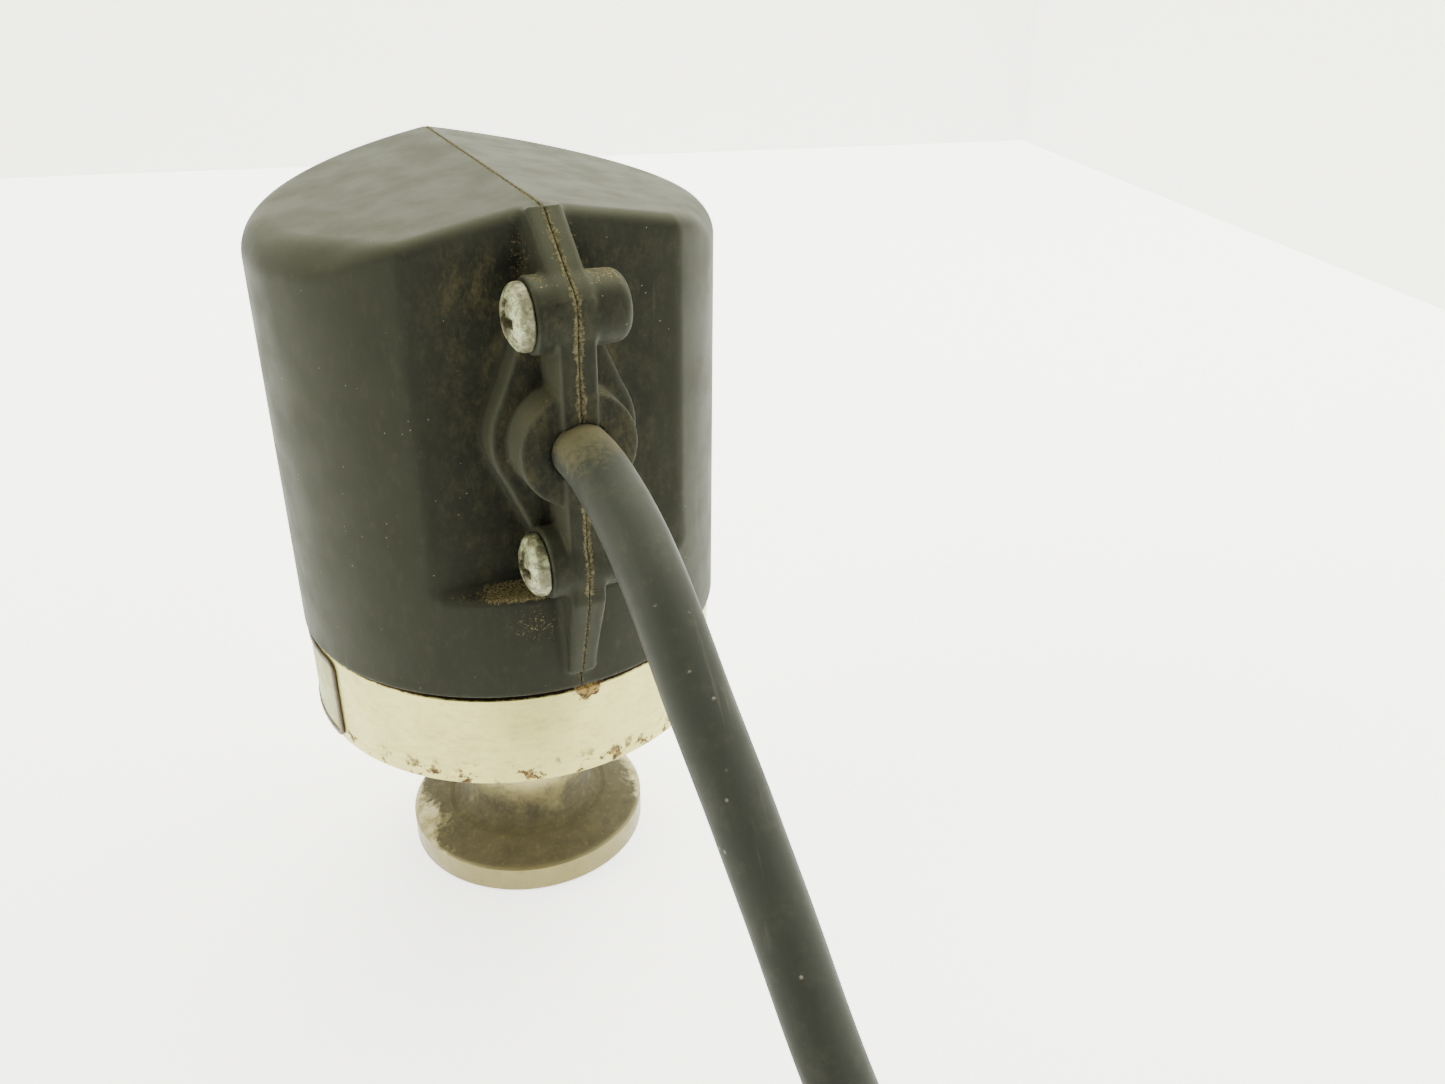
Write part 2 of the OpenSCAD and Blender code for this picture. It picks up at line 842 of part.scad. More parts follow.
// Cores from the cut end of the sheath up through the board and into the terminals
module supply_cores() {
    tints = ["#6b4a2e", "#4c7a3a", "#33507f"];
    for (k = [-1 : 1])
        let (x = k * core_pitch)
            color(tints[k + 1])
                sweep_tube([
                    [k * 2, -19, gland_z], [k * 2, -18, gland_z], [k * 2.2, -16.8, gland_z + 0.6],
                    [x * 0.6, -15.8, 89.6], [x * 0.85, -16.6, 92.5], [x, -18.8, 95], [x, -19.4, 97.2],
                    [x, -19.4, 100], [x, -19, 101.3], [x, -18, 102.1], [x, -16, 102.2], [x, -13.4, 102.2]],
                    core_r, [1, 0, 0]);
}

module motor_wires() {
    for (x = [-6, 6])
        color(x < 0 ? "#8a2f2f" : "#303030")
            sweep_tube([
                [x, 17, motor_z + motor_h], [x, 17, motor_z + motor_h + 3], [x, 17, board_z + board_t + 0.6]],
                0.8, [1, 0, 0]);
}

// ---------------------------------------------------------------- free cable

module cable() {
    color("#26282a")
        sweep_tube(cable_route, cable_r, [1, 0, 0], 12);
}

module cable_coil() {
    layer_top = coil_lift + 2 * cable_r;
    color("#26282a")
        translate([coil_centre[0], coil_centre[1], 0]) {
            rotate_extrude($fn = 96)
                translate([coil_in_r - cable_r, coil_lift])
                    square([coil_out_r - coil_in_r + cable_d, cable_d]);
            rotate([0, 0, layer_end])
                rotate_extrude(angle = layer_start - layer_end, $fn = 96)
                    translate([coil_mid_r - cable_r, layer_top - 0.5])
                        square([cable_d, coil_rise + 0.5]);
        }
}

// Band round the coil's two layers
module coil_tie() {
    gap = 0.1;
    band = 0.9;
    width = 4.5;
    in_x = coil_in_r - cable_r;
    out_x = coil_out_r + cable_r;
    top_z = coil_lift + cable_d + coil_rise;
    color("#d8d8d2")
        translate([coil_centre[0], coil_centre[1], 0])
            rotate([0, 0, tie_angle])
                rotate([90, 0, 0])
                    translate([0, 0, -width / 2])
                        linear_extrude(width)
                            difference() {
                                polygon([[in_x - band - gap, 0], [out_x + band + gap, 0],
                                    [out_x + band + gap, coil_lift + cable_d + 1],
                                    [coil_mid_r + cable_r + band + gap, top_z + band + gap],
                                    [coil_mid_r - cable_r - band - gap, top_z + band + gap],
                                    [in_x - band - gap, coil_lift + cable_d + 1]]);
                                polygon([[in_x - gap, band], [out_x + gap, band],
                                    [out_x + gap, coil_lift + cable_d + gap],
                                    [coil_mid_r + cable_r + gap, top_z + gap],
                                    [coil_mid_r - cable_r - gap, top_z + gap],
                                    [in_x - gap, coil_lift + cable_d + gap]]);
                            }
}

// Bared cores with crimped sleeves, lying on the coil's lower layer past the sheath's cut end
module cable_end_cores() {
    lay_z = coil_lift + cable_d + core_r + 0.1;
    tints = ["#6b4a2e", "#4c7a3a", "#33507f"];
    for (k = [-1 : 1])
        color(tints[k + 1])
            sweep_tube([for (a = [0 : 4 : 24])
                let (p = polar(coil_mid_r + k * 2.1, layer_end - a))
                [coil_centre[0] + p[0], coil_centre[1] + p[1], lay_z]], core_r, [0, 0, 1]);
}

ferrule();
ferrule_nut();
stem_seal();
stem_bush();
base_ring();
base_gasket();
nameplate();
cover_left();
cover_right();
cover_screws();
cover_inserts();
cable_grommet();
cable_entry();
lower_plate();
upper_plate();
chassis_pillars();
chassis_screws();
gear_pillars();
gear_axles();
lower_bush();
upper_bush();
output_gear();
push_stem();
trip_arm();
arm_screw();
guide_rod();
second_gear();
first_gear();
motor_pinion();
motor_shaft();
rotor_magnet();
stator_coil();
motor_can();
motor_cap();
motor_screws();
motor_bushes();
switch_bracket();
open_switch();
closed_switch();
switch_screws();
open_plunger();
closed_plunger();
board_pillars();
circuit_board();
board_screws();
terminal_block();
terminal_screws();
capacitor();
relay();
supply_cores();
motor_wires();
cable();
cable_coil();
coil_tie();
cable_end_cores();
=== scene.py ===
"""Motorised actuator head: camera, studio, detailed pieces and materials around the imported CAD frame.

Lengths are millimetres in the CAD's frame, and MM turns them into Blender's metres. Inside a material
they are metres, because its coordinates are.
"""
import json
import math

import bpy
import numpy as np
from mathutils import Matrix, Vector


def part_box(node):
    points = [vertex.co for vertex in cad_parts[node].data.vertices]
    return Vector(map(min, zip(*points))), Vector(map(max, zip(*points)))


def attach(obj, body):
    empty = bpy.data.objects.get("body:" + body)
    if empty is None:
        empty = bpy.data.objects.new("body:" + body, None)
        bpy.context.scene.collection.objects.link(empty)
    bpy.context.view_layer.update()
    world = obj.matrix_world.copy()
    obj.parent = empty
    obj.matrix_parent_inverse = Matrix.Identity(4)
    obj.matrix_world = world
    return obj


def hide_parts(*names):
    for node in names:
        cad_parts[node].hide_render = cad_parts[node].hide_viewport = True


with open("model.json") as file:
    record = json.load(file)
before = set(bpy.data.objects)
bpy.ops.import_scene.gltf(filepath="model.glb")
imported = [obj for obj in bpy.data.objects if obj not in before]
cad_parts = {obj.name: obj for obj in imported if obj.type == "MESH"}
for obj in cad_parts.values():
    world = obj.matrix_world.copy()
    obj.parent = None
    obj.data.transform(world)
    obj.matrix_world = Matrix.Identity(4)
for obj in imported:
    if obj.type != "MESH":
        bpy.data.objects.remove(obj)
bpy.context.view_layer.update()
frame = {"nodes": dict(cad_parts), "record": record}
MM = 0.001
NODES = frame["nodes"]


# ------------------------------------------------------------------ camera

LENS = 31.18
SENSOR_WIDTH = 36
CAMERA_PLACE = (-47.66, -173.04, 151.99)
CAMERA_RIGHT = (0.8981, -0.4397, 0.0105)
CAMERA_UP = (0.2016, 0.4328, 0.8786)


def make_camera():
    """One fixed camera, from its place and its right and up directions."""
    data = bpy.data.cameras.new("camera")
    data.lens = LENS
    data.sensor_width = SENSOR_WIDTH
    data.clip_start = 0.005
    data.clip_end = 20
    camera = bpy.data.objects.new("camera", data)
    bpy.context.scene.collection.objects.link(camera)
    right = Vector(CAMERA_RIGHT)
    up = Vector(CAMERA_UP)
    back = right.cross(up)
    turn = Matrix((right, up, back)).transposed().to_4x4()
    camera.matrix_world = Matrix.Translation(Vector(CAMERA_PLACE) * MM) @ turn
    bpy.context.scene.camera = camera


make_camera()


# ------------------------------------------------------------------ materials

class Shader:
    """A small builder for procedural materials on one Principled BSDF."""

    def __init__(self, name, color, roughness, metallic=0.0, **inputs):
        self.material = bpy.data.materials.new(name)
        self.material.use_nodes = True
        self.tree = self.material.node_tree
        self.bsdf = self.tree.nodes["Principled BSDF"]
        self.bsdf.inputs["Base Color"].default_value = (*color, 1)
        self.bsdf.inputs["Roughness"].default_value = roughness
        self.bsdf.inputs["Metallic"].default_value = metallic
        for key, value in inputs.items():
            self.bsdf.inputs[key.replace("_", " ")].default_value = value
        self.place = self.add("ShaderNodeTexCoord").outputs["Object"]
        self.bump_end = None

    def add(self, kind, **settings):
        node = self.tree.nodes.new(kind)
        for key, value in settings.items():
            setattr(node, key, value)
        return node

    def link(self, source, target):
        self.tree.links.new(source, target)

    def stretched(self, scale):
        """The object's own coordinates, stretched by a scale along each axis."""
        mapping = self.add("ShaderNodeMapping")
        mapping.inputs["Scale"].default_value = scale
        self.link(self.place, mapping.inputs["Vector"])
        return mapping.outputs["Vector"]

    def noise(self, scale, detail=3.0, rough=0.55, stretch=None, distortion=0.0):
        """Noise with a scale in features per metre."""
        node = self.add("ShaderNodeTexNoise")
        node.inputs["Scale"].default_value = scale
        node.inputs["Detail"].default_value = detail
        node.inputs["Roughness"].default_value = rough
        node.inputs["Distortion"].default_value = distortion
        self.link(self.stretched(stretch) if stretch else self.place, node.inputs["Vector"])
        return node.outputs["Fac"]

    def cells(self, scale):
        """Distance to the nearest of scattered points, with a scale in points per metre."""
        node = self.add("ShaderNodeTexVoronoi")
        node.inputs["Scale"].default_value = scale
        self.link(self.place, node.inputs["Vector"])
        return node.outputs["Distance"]

    def axis(self, name):
        """One of the object's own coordinates."""
        node = self.add("ShaderNodeSeparateXYZ")
        self.link(self.place, node.inputs[0])
        return node.outputs[name]

    def painted(self, name):
        """A mask stored on the mesh's points."""
        return self.add("ShaderNodeAttribute", attribute_name=name).outputs["Fac"]

    def ramp(self, source, low, high, out_low=0.0, out_high=1.0):
        """A smooth step between two outputs while the source goes from low to high."""
        node = self.add("ShaderNodeMapRange", interpolation_type="SMOOTHSTEP")
        self.link(source, node.inputs["Value"])
        for key, value in zip(("From Min", "From Max", "To Min", "To Max"), (low, high, out_low, out_high)):
            node.inputs[key].default_value = value
        return node.outputs["Result"]

    def math(self, operation, a, b=0):
        """One arithmetic operation on sockets or numbers."""
        node = self.add("ShaderNodeMath", operation=operation)
        for value, socket in zip((a, b), node.inputs):
            if isinstance(value, (int, float)):
                socket.default_value = value
            else:
                self.link(value, socket)
        return node.outputs[0]

    def _mix(self, kind, sockets, factor, a, b):
        node = self.add("ShaderNodeMix", data_type=kind)
        factor_socket, a_socket, b_socket, out = sockets
        if isinstance(factor, (int, float)):
            node.inputs[factor_socket].default_value = factor
        else:
            self.link(factor, node.inputs[factor_socket])
        for value, index in ((a, a_socket), (b, b_socket)):
            if isinstance(value, bpy.types.NodeSocket):
                self.link(value, node.inputs[index])
            else:
                node.inputs[index].default_value = (*value, 1) if kind == "RGBA" else value
        return node.outputs[out]

    def color_mix(self, factor, a, b):
        return self._mix("RGBA", (0, 6, 7, 2), factor, a, b)

    def value_mix(self, factor, a, b):
        return self._mix("FLOAT", (0, 2, 3, 0), factor, a, b)

    def color(self, source):
        self.link(source, self.bsdf.inputs["Base Color"])

    def roughness(self, source):
        self.link(source, self.bsdf.inputs["Roughness"])

    def metallic(self, source):
        self.link(source, self.bsdf.inputs["Metallic"])

    def bump(self, height, strength, distance_mm):
        """Adds a bump layer with its depth in millimetres."""
        node = self.add("ShaderNodeBump")
        node.inputs["Strength"].default_value = strength
        node.inputs["Distance"].default_value = distance_mm * MM
        self.link(height, node.inputs["Height"])
        if self.bump_end:
            self.link(self.bump_end, node.inputs["Normal"])
        self.bump_end = node.outputs["Normal"]
        self.link(self.bump_end, self.bsdf.inputs["Normal"])


def black_plastic():
    """Moulded black cover: fine grain, a grey film that is partly dust and partly painted light on the sides,
    rubbed dust, brown dirt in the corners, light specks.
    """
    s = Shader("black_cover", (0.01, 0.011, 0.008), 0.5, Specular_IOR_Level=0.055)
    s.bsdf.inputs["Specular Tint"].default_value = (1.0, 1.0, 0.72, 1)
    base = s.color_mix(s.noise(120, 4), (0.0095, 0.0103, 0.0084), (0.0140, 0.0150, 0.0118))
    # The film mask is partly a grey dust film and partly painted light, lighter on the cover's sides where
    # the lamps fall
    film = s.math("MULTIPLY", s.painted("film"), s.ramp(s.noise(45, 5, 0.6), 0.25, 0.8, 0.86, 1.0))
    base = s.color_mix(film, base, (0.050, 0.051, 0.036))
    rubbed = s.ramp(s.noise(800, 7, 0.75, (1, 1, 0.45)), 0.48, 0.74, 0, 0.5)
    base = s.color_mix(rubbed, base, (0.030, 0.031, 0.023))
    scratch = s.math("MULTIPLY", s.ramp(s.noise(420, 2, 0.5, (1, 1, 0.05), 0.4), 0.665, 0.70),
                     s.ramp(s.noise(50, 2), 0.45, 0.6))
    base = s.color_mix(s.math("MULTIPLY", scratch, 0.14), base, (0.08, 0.08, 0.06))
    dirt_break = s.ramp(s.noise(420, 8, 0.8, (1, 1, 0.6)), 0.42, 0.70)
    dirt = s.math("MULTIPLY", s.painted("dirt"), dirt_break)
    base = s.color_mix(dirt, base, (0.060, 0.055, 0.028))
    seam_edge = s.math("SUBTRACT", s.painted("seam"), s.ramp(s.noise(1700, 6, 0.8), 0.25, 0.75, 0.0, 0.9))
    seam = s.ramp(seam_edge, 0.0, 0.25)
    seam_tone = s.color_mix(s.ramp(s.noise(2600, 3), 0.4, 0.6), (0.040, 0.036, 0.020), (0.092, 0.083, 0.048))
    base = s.color_mix(seam, base, seam_tone)
    speck = s.math("MULTIPLY", s.ramp(s.cells(800), 0.085, 0.045), s.ramp(s.noise(280, 2), 0.54, 0.62))
    base = s.color_mix(s.math("MULTIPLY", speck, 0.8), base, (0.17, 0.16, 0.10))
    sand_edge = s.math("SUBTRACT", s.painted("sand"), s.ramp(s.noise(1900, 6, 0.85), 0.3, 0.7))
    sand = s.ramp(sand_edge, 0.0, 0.12)
    grain = s.ramp(s.noise(3600, 3), 0.35, 0.65)
    sand_tone = s.color_mix(grain, (0.058, 0.049, 0.024), (0.185, 0.155, 0.082))
    s.color(s.color_mix(sand, base, sand_tone))
    dusty = s.math("MAXIMUM", s.math("MAXIMUM", dirt, sand), seam)
    s.roughness(s.value_mix(dusty, s.ramp(s.noise(160, 4), 0.3, 0.75, 0.46, 0.58), 0.92))
    s.bump(s.noise(2600, 3, 0.6), 0.2, 0.04)
    s.bump(dusty, 0.5, 0.15)
    return s.material


# The ring's top edge, and the places between which its rust, the painted shadow and dirt under the cover and
# the blot fade in
SHOULDER = float(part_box("base_gasket")[0][2])
RING_RUST = (0.0372, 0.0334)
RING_SHADOW_AND_DIRT = (SHOULDER - 0.0005, SHOULDER - 0.0003)
BLOT_X = 0.0012
BLOT_SIDE = (0.0035, 0.001)
BLOT_HEIGHT = (SHOULDER - 0.004, SHOULDER - 0.001)


def plated_steel():
    """Cream satin plating with fine pits, rust at the lower edge, a painted shadow with dirt at the top under
    the cover and a blot by the split.
    """
    s = Shader("plated_ring", (0.7, 0.66, 0.5), 0.38, 0.85)
    base = s.color_mix(s.noise(45, 5, 0.6), (0.56, 0.53, 0.20), (0.43, 0.405, 0.14))
    brushed = s.noise(520, 5, 0.7, (1, 1, 2.2))
    base = s.color_mix(s.ramp(brushed, 0.42, 0.7, 0, 0.5), base, (0.33, 0.295, 0.12))
    stain = s.ramp(s.noise(95, 7, 0.75), 0.5, 0.75, 0, 0.5)
    base = s.color_mix(stain, base, (0.27, 0.24, 0.08))
    fine = s.noise(2400, 5, 0.7)
    base = s.color_mix(s.ramp(fine, 0.60, 0.72, 0, 0.5), base, (0.24, 0.20, 0.10))
    height = s.axis("Z")
    low = s.ramp(height, *RING_RUST)
    spots = s.ramp(s.noise(330, 5, 0.7), 0.535, 0.60)
    rust = s.math("MULTIPLY", low, spots)
    stray = s.math("MULTIPLY", s.ramp(s.cells(70), 0.075, 0.045), s.ramp(s.noise(900, 4, 0.7), 0.42, 0.52))
    rust = s.math("MAXIMUM", rust, stray)
    rust_tone = s.color_mix(s.ramp(s.noise(1500, 3), 0.4, 0.6), (0.055, 0.031, 0.010), (0.25, 0.160, 0.040))
    base = s.color_mix(rust, base, rust_tone)
    # Painted shadow with dirt: a thin dark ragged band at the ring's top, under the cover's edge
    shadow_and_dirt_line = s.math("ADD", height, s.ramp(s.noise(900, 6, 0.8), 0.3, 0.7, -0.00007, 0.00007))
    base = s.color_mix(s.ramp(shadow_and_dirt_line, *RING_SHADOW_AND_DIRT), base, (0.022, 0.013, 0.007))
    from_blot = s.math("ABSOLUTE", s.math("SUBTRACT", s.axis("X"), BLOT_X))
    by_split = s.math("MULTIPLY", s.ramp(from_blot, *BLOT_SIDE), s.ramp(height, *BLOT_HEIGHT))
    blot = s.math("SUBTRACT", by_split, s.ramp(s.noise(620, 6, 0.75), 0.3, 0.7, 0.1, 0.9))
    rust = s.math("MAXIMUM", rust, s.ramp(blot, 0.0, 0.12))
    base = s.color_mix(rust, base, rust_tone)
    s.color(base)
    s.metallic(s.value_mix(rust, 0.85, 0.2))
    s.roughness(s.value_mix(rust, s.ramp(s.noise(300, 4), 0.3, 0.7, 0.32, 0.48), 0.85))
    s.bump(fine, 0.25, 0.03)
    s.bump(rust, 0.6, 0.08)
    return s.material


# Heights and a distance sideways, between which the flange's deposit and the neck's tone fade
FLANGE_TOP = (0.0044, 0.0052)
DEPOSIT_END = (0.0150, 0.0085)
BARE_SIDE = (0.0162, 0.0188)
NECK_START = (0.012, 0.019)


def stained_steel():
    """Dull turned steel with a dark brown deposit round the neck's foot and bare patches at the sides."""
    s = Shader("ferrule_metal", (0.45, 0.41, 0.33), 0.42, 0.9)
    height = s.axis("Z")
    turned = s.color_mix(s.noise(160, 5), (0.235, 0.205, 0.095), (0.150, 0.130, 0.056))
    base = s.color_mix(s.ramp(height, *NECK_START), turned, (0.60, 0.55, 0.28))
    side = s.math("ABSOLUTE", s.axis("X"))
    uneven = s.ramp(s.noise(150, 6, 0.7), 0.25, 0.75, -1, 1)
    uneven_height = s.math("ADD", height, s.math("MULTIPLY", uneven, 0.004))
    foot = s.math("MULTIPLY", s.ramp(height, *FLANGE_TOP), s.ramp(uneven_height, *DEPOSIT_END))
    bare = s.ramp(s.math("ADD", side, s.math("MULTIPLY", uneven, 0.0035)), *BARE_SIDE)
    grime = s.math("MULTIPLY", foot, s.math("SUBTRACT", 1, bare))
    grime = s.math("MULTIPLY", grime, s.ramp(s.noise(700, 6, 0.75), 0.18, 0.5, 0.62, 1))
    tone = s.color_mix(s.noise(260, 5, 0.7), (0.018, 0.014, 0.006), (0.088, 0.073, 0.038))
    base = s.color_mix(grime, base, tone)
    pale = s.math("MULTIPLY", s.math("MULTIPLY", bare, foot), s.ramp(s.noise(420, 6, 0.75), 0.40, 0.6))
    base = s.color_mix(s.math("MULTIPLY", pale, 0.5), base, (0.47, 0.43, 0.27))
    speck = s.ramp(s.noise(1100, 5, 0.7), 0.56, 0.68)
    base = s.color_mix(s.math("MULTIPLY", speck, 0.4), base, (0.11, 0.09, 0.048))
    s.color(base)
    s.metallic(s.value_mix(grime, 0.85, 0.05))
    s.roughness(s.value_mix(grime, s.ramp(s.noise(500, 4), 0.3, 0.7, 0.30, 0.46), 0.85))
    s.bump(s.noise(1500, 5, 0.7), 0.3, 0.05)
    s.bump(grime, 0.5, 0.1)
    return s.material


def corroded_zinc():
    """Zinc-plated screw with white bloom and brown pits, brown dirt in the recess, and painted shade with
    some dirt round the head's rim and by its seat.
    """
    s = Shader("zinc_screw", (0.62, 0.62, 0.56), 0.4, 0.8)
    bloom = s.ramp(s.noise(620, 7, 0.8), 0.36, 0.62)
    base = s.color_mix(bloom, (0.085, 0.092, 0.05), (0.38, 0.405, 0.24))
    pits = s.ramp(s.noise(1300, 6, 0.8), 0.50, 0.62)
    base = s.color_mix(pits, base, (0.09, 0.08, 0.05))
    # Brown from the dirt mask: dirt in the recess, and painted shade with some dirt round the head's rim and
    # by its seat
    brown = s.math("MULTIPLY", s.painted("dirt"), s.ramp(s.noise(700, 4), 0.3, 0.55))
    base = s.color_mix(brown, base, (0.075, 0.062, 0.035))
    s.color(base)
    s.metallic(s.value_mix(s.math("MAXIMUM", bloom, brown), 0.85, 0.2))
    s.roughness(s.ramp(s.noise(800, 4), 0.3, 0.7, 0.35, 0.65))
    s.bump(s.noise(900, 6, 0.75), 0.6, 0.12)
    return s.material


def cable_rubber():
    """Grey-black cable sheath: satin, dusty film, specks, scuffs, and dust on it at the gland."""
    s = Shader("cable_sheath", (0.02, 0.022, 0.02), 0.5, Specular_IOR_Level=0.065)
    base = s.color_mix(s.noise(70, 5), (0.0240, 0.0262, 0.0228), (0.034, 0.0365, 0.0308))
    film = s.ramp(s.noise(240, 6, 0.7), 0.48, 0.78, 0, 0.5)
    base = s.color_mix(film, base, (0.050, 0.051, 0.038))
    streak = s.math("MULTIPLY", s.ramp(s.noise(500, 3, 0.6, (1, 0.12, 0.12)), 0.62, 0.74), 0.25)
    base = s.color_mix(streak, base, (0.09, 0.09, 0.07))
    speck = s.math("MULTIPLY", s.ramp(s.cells(420), 0.15, 0.07), s.ramp(s.noise(260, 2), 0.54, 0.64))
    base = s.color_mix(s.math("MULTIPLY", speck, 0.8), base, (0.30, 0.28, 0.20))
    broken = s.ramp(s.noise(1100, 6, 0.8), 0.25, 0.75, 0, 0.5)
    dust = s.ramp(s.math("SUBTRACT", s.painted("dust"), broken), 0.0, 0.6)
    base = s.color_mix(dust, base, (0.085, 0.076, 0.045))
    s.color(base)
    s.roughness(s.value_mix(dust, s.ramp(s.noise(160, 4), 0.3, 0.75, 0.42, 0.56), 0.9))
    s.bump(s.noise(1300, 4, 0.6), 0.2, 0.05)
    s.bump(s.noise(120, 3), 0.3, 0.2)
    return s.material


def grained(name, dark, light, roughness, metallic=0.0, grain=700, depth=0.03, **inputs):
    """Two-tone material with a fine grain, for the simpler parts."""
    s = Shader(name, light, roughness, metallic, **inputs)
    smoothest, roughest = max(roughness - 0.1, 0.05), min(roughness + 0.12, 1)
    s.color(s.color_mix(s.noise(grain * 0.35, 4), dark, light))
    s.roughness(s.ramp(s.noise(grain * 0.5, 3), 0.3, 0.7, smoothest, roughest))
    s.bump(s.noise(grain, 4, 0.6), 0.3, depth)
    return s.material


def printed_foil():
    """Nameplate: yellow-green foil."""
    s = Shader("nameplate", (0.28, 0.29, 0.10), 0.5, Specular_IOR_Level=0.15)
    base = s.color_mix(s.noise(180, 5), (0.26, 0.27, 0.065), (0.19, 0.20, 0.045))
    stain = s.ramp(s.noise(500, 5, 0.7), 0.55, 0.68, 0, 0.6)
    s.color(s.color_mix(stain, base, (0.22, 0.24, 0.17)))
    s.roughness(s.ramp(s.noise(400, 3), 0.3, 0.7, 0.28, 0.5))
    s.bump(s.noise(900, 4), 0.3, 0.03)
    return s.material


def insulation(name, dark, light):
    """Smooth plastic round a wire."""
    return grained(name, dark, light, 0.4, grain=500)


MATERIALS = {
    "black_cover": black_plastic(),
    "plated_ring": plated_steel(),
    "ferrule_metal": stained_steel(),
    "zinc_screw": corroded_zinc(),
    "cable_sheath": cable_rubber(),
    "nameplate": printed_foil(),
    "steel": grained("steel", (0.42, 0.43, 0.43), (0.62, 0.63, 0.63), 0.32, 1.0),
    "rubber": grained("rubber", (0.012, 0.012, 0.012), (0.03, 0.03, 0.029), 0.7, grain=900),
    "bronze": grained("bronze", (0.40, 0.27, 0.13), (0.62, 0.46, 0.26), 0.4, 1.0),
    "brass": grained("brass", (0.60, 0.45, 0.18), (0.78, 0.62, 0.30), 0.28, 1.0),
    "nylon": grained("nylon", (0.66, 0.62, 0.52), (0.80, 0.77, 0.67), 0.45, grain=500),
    "magnet": grained("magnet", (0.05, 0.05, 0.055), (0.11, 0.11, 0.115), 0.55, 0.4),
    "copper": grained("copper", (0.36, 0.14, 0.05), (0.62, 0.29, 0.12), 0.35, 0.9, grain=1500),
    "motor_steel": grained("motor_steel", (0.48, 0.49, 0.49), (0.68, 0.69, 0.68), 0.3, 1.0),
    "switch_case": grained("switch_case", (0.03, 0.035, 0.045), (0.06, 0.066, 0.08), 0.5),
    "plunger": grained("plunger", (0.40, 0.05, 0.03), (0.58, 0.09, 0.06), 0.35),
    "board": grained("board", (0.03, 0.15, 0.055), (0.06, 0.22, 0.09), 0.35, grain=300),
    "terminal_green": grained("terminal_green", (0.05, 0.24, 0.10), (0.09, 0.34, 0.16), 0.45),
    "capacitor": grained("capacitor", (0.04, 0.10, 0.22), (0.07, 0.16, 0.33), 0.25, grain=200),
    "core_insulation": insulation("core_insulation", (0.16, 0.09, 0.05), (0.26, 0.16, 0.09)),
    "core_brown": insulation("core_brown", (0.16, 0.08, 0.04), (0.24, 0.13, 0.07)),
    "core_green": insulation("core_green", (0.20, 0.26, 0.05), (0.28, 0.34, 0.08)),
    "core_blue": insulation("core_blue", (0.04, 0.08, 0.24), (0.07, 0.12, 0.33)),
    "plate_border": grained("plate_border", (0.05, 0.035, 0.02), (0.10, 0.07, 0.04), 0.55, grain=900),
    "tie_nylon": grained("tie_nylon", (0.62, 0.62, 0.58), (0.80, 0.80, 0.76), 0.4, grain=400),
}
SLOT_OF = {part["node"]: part["material_slot"] for part in frame["record"]["subparts"]}

for node, obj in NODES.items():
    obj.data.materials.clear()
    obj.data.materials.append(MATERIALS[SLOT_OF[node]])


# ------------------------------------------------------------------ mesh helpers

SHARP_ANGLE = 50


def make_object(name, verts_mm, faces, slot, material=None):
    """A piece fixed to the housing, in its slot's material unless another is named."""
    if isinstance(faces, np.ndarray):
        faces = faces.tolist()
    mesh = bpy.data.meshes.new(name)
    mesh.from_pydata((np.asarray(verts_mm, float) * MM).tolist(), [], faces)
    mesh.update()
    mesh.shade_smooth()
    mesh.set_sharp_from_angle(angle=math.radians(SHARP_ANGLE))
    obj = bpy.data.objects.new(name, mesh)
    bpy.context.scene.collection.objects.link(obj)
    mesh.materials.append(MATERIALS[material or slot])
    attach(obj, "housing")
    return obj


def sweep(points, radius, sides, side=(1, 0, 0)):
    """Verts and faces of a round rod along points, with a ring at each point and a cap at each end."""
    points = np.asarray(points, float)
    tangents = np.gradient(points, axis=0)
    tangents[0] = points[1] - points[0]
    tangents[-1] = points[-1] - points[-2]
    tangents /= np.linalg.norm(tangents, axis=1)[:, None]
    u = np.array(side, float)
    verts = []
    angles = np.linspace(0, 2 * math.pi, sides, endpoint=False)
    for p, t in zip(points, tangents):
        u = u - t * (u @ t)
        u /= np.linalg.norm(u)
        v = np.cross(t, u)
        verts.append(p + radius * (np.cos(angles)[:, None] * u + np.sin(angles)[:, None] * v))
    faces = []
    last = (len(points) - 1) * sides
    for ring in range(0, last, sides):
        for k in range(sides):
            after = (k + 1) % sides
            faces.append((ring + k, ring + after, ring + sides + after, ring + sides + k))
    faces.append(tuple(range(sides - 1, -1, -1)))
    faces.append(tuple(range(last, last + sides)))
    return np.concatenate(verts), faces


def paint(obj, masks):
    """Stores masks on the mesh's points for its material to use."""
    for name, values in masks.items():
        layer = obj.data.attributes.new(name, "FLOAT", "POINT")
        layer.data.foreach_set("value", np.asarray(values, np.float32))


def blend_mask(values, low, high):
    """0 below low and 1 above high, or the other way round when low is the larger."""
    t = np.clip((values - low) / (high - low), 0, 1)
    return t * t * (3 - 2 * t)


# ------------------------------------------------------------------ free cable

CABLE_D = 7.7
CABLE_SIDES = 32
CORE_D = 1.9
CORE_SPACING = 2.1
SLEEVE_D = 2.1
SLEEVE_L = 4.5
CORE_SIDES = 16
COIL_MID_R = 41
COIL_SIDE = 3.9
COIL_RISE = 6.9
COIL_LIFT = 1.0
GLAND_Z = 87
GLAND_FACE = -37
DUST_REACH = 17
RUN_END = (18, -139)
COIL_CENTRE = (RUN_END[0] - COIL_MID_R - COIL_SIDE, RUN_END[1])
# Turning angles in degrees, counted from the coil's start
INWARD = (295, 362)
CLIMB = (606, 652)
OUTWARD = (626, 676)
HUMP_UP = (640, 680)
HUMP_DOWN = (700, 740)
COIL_END = 950
HUMP_RISE = 0.9
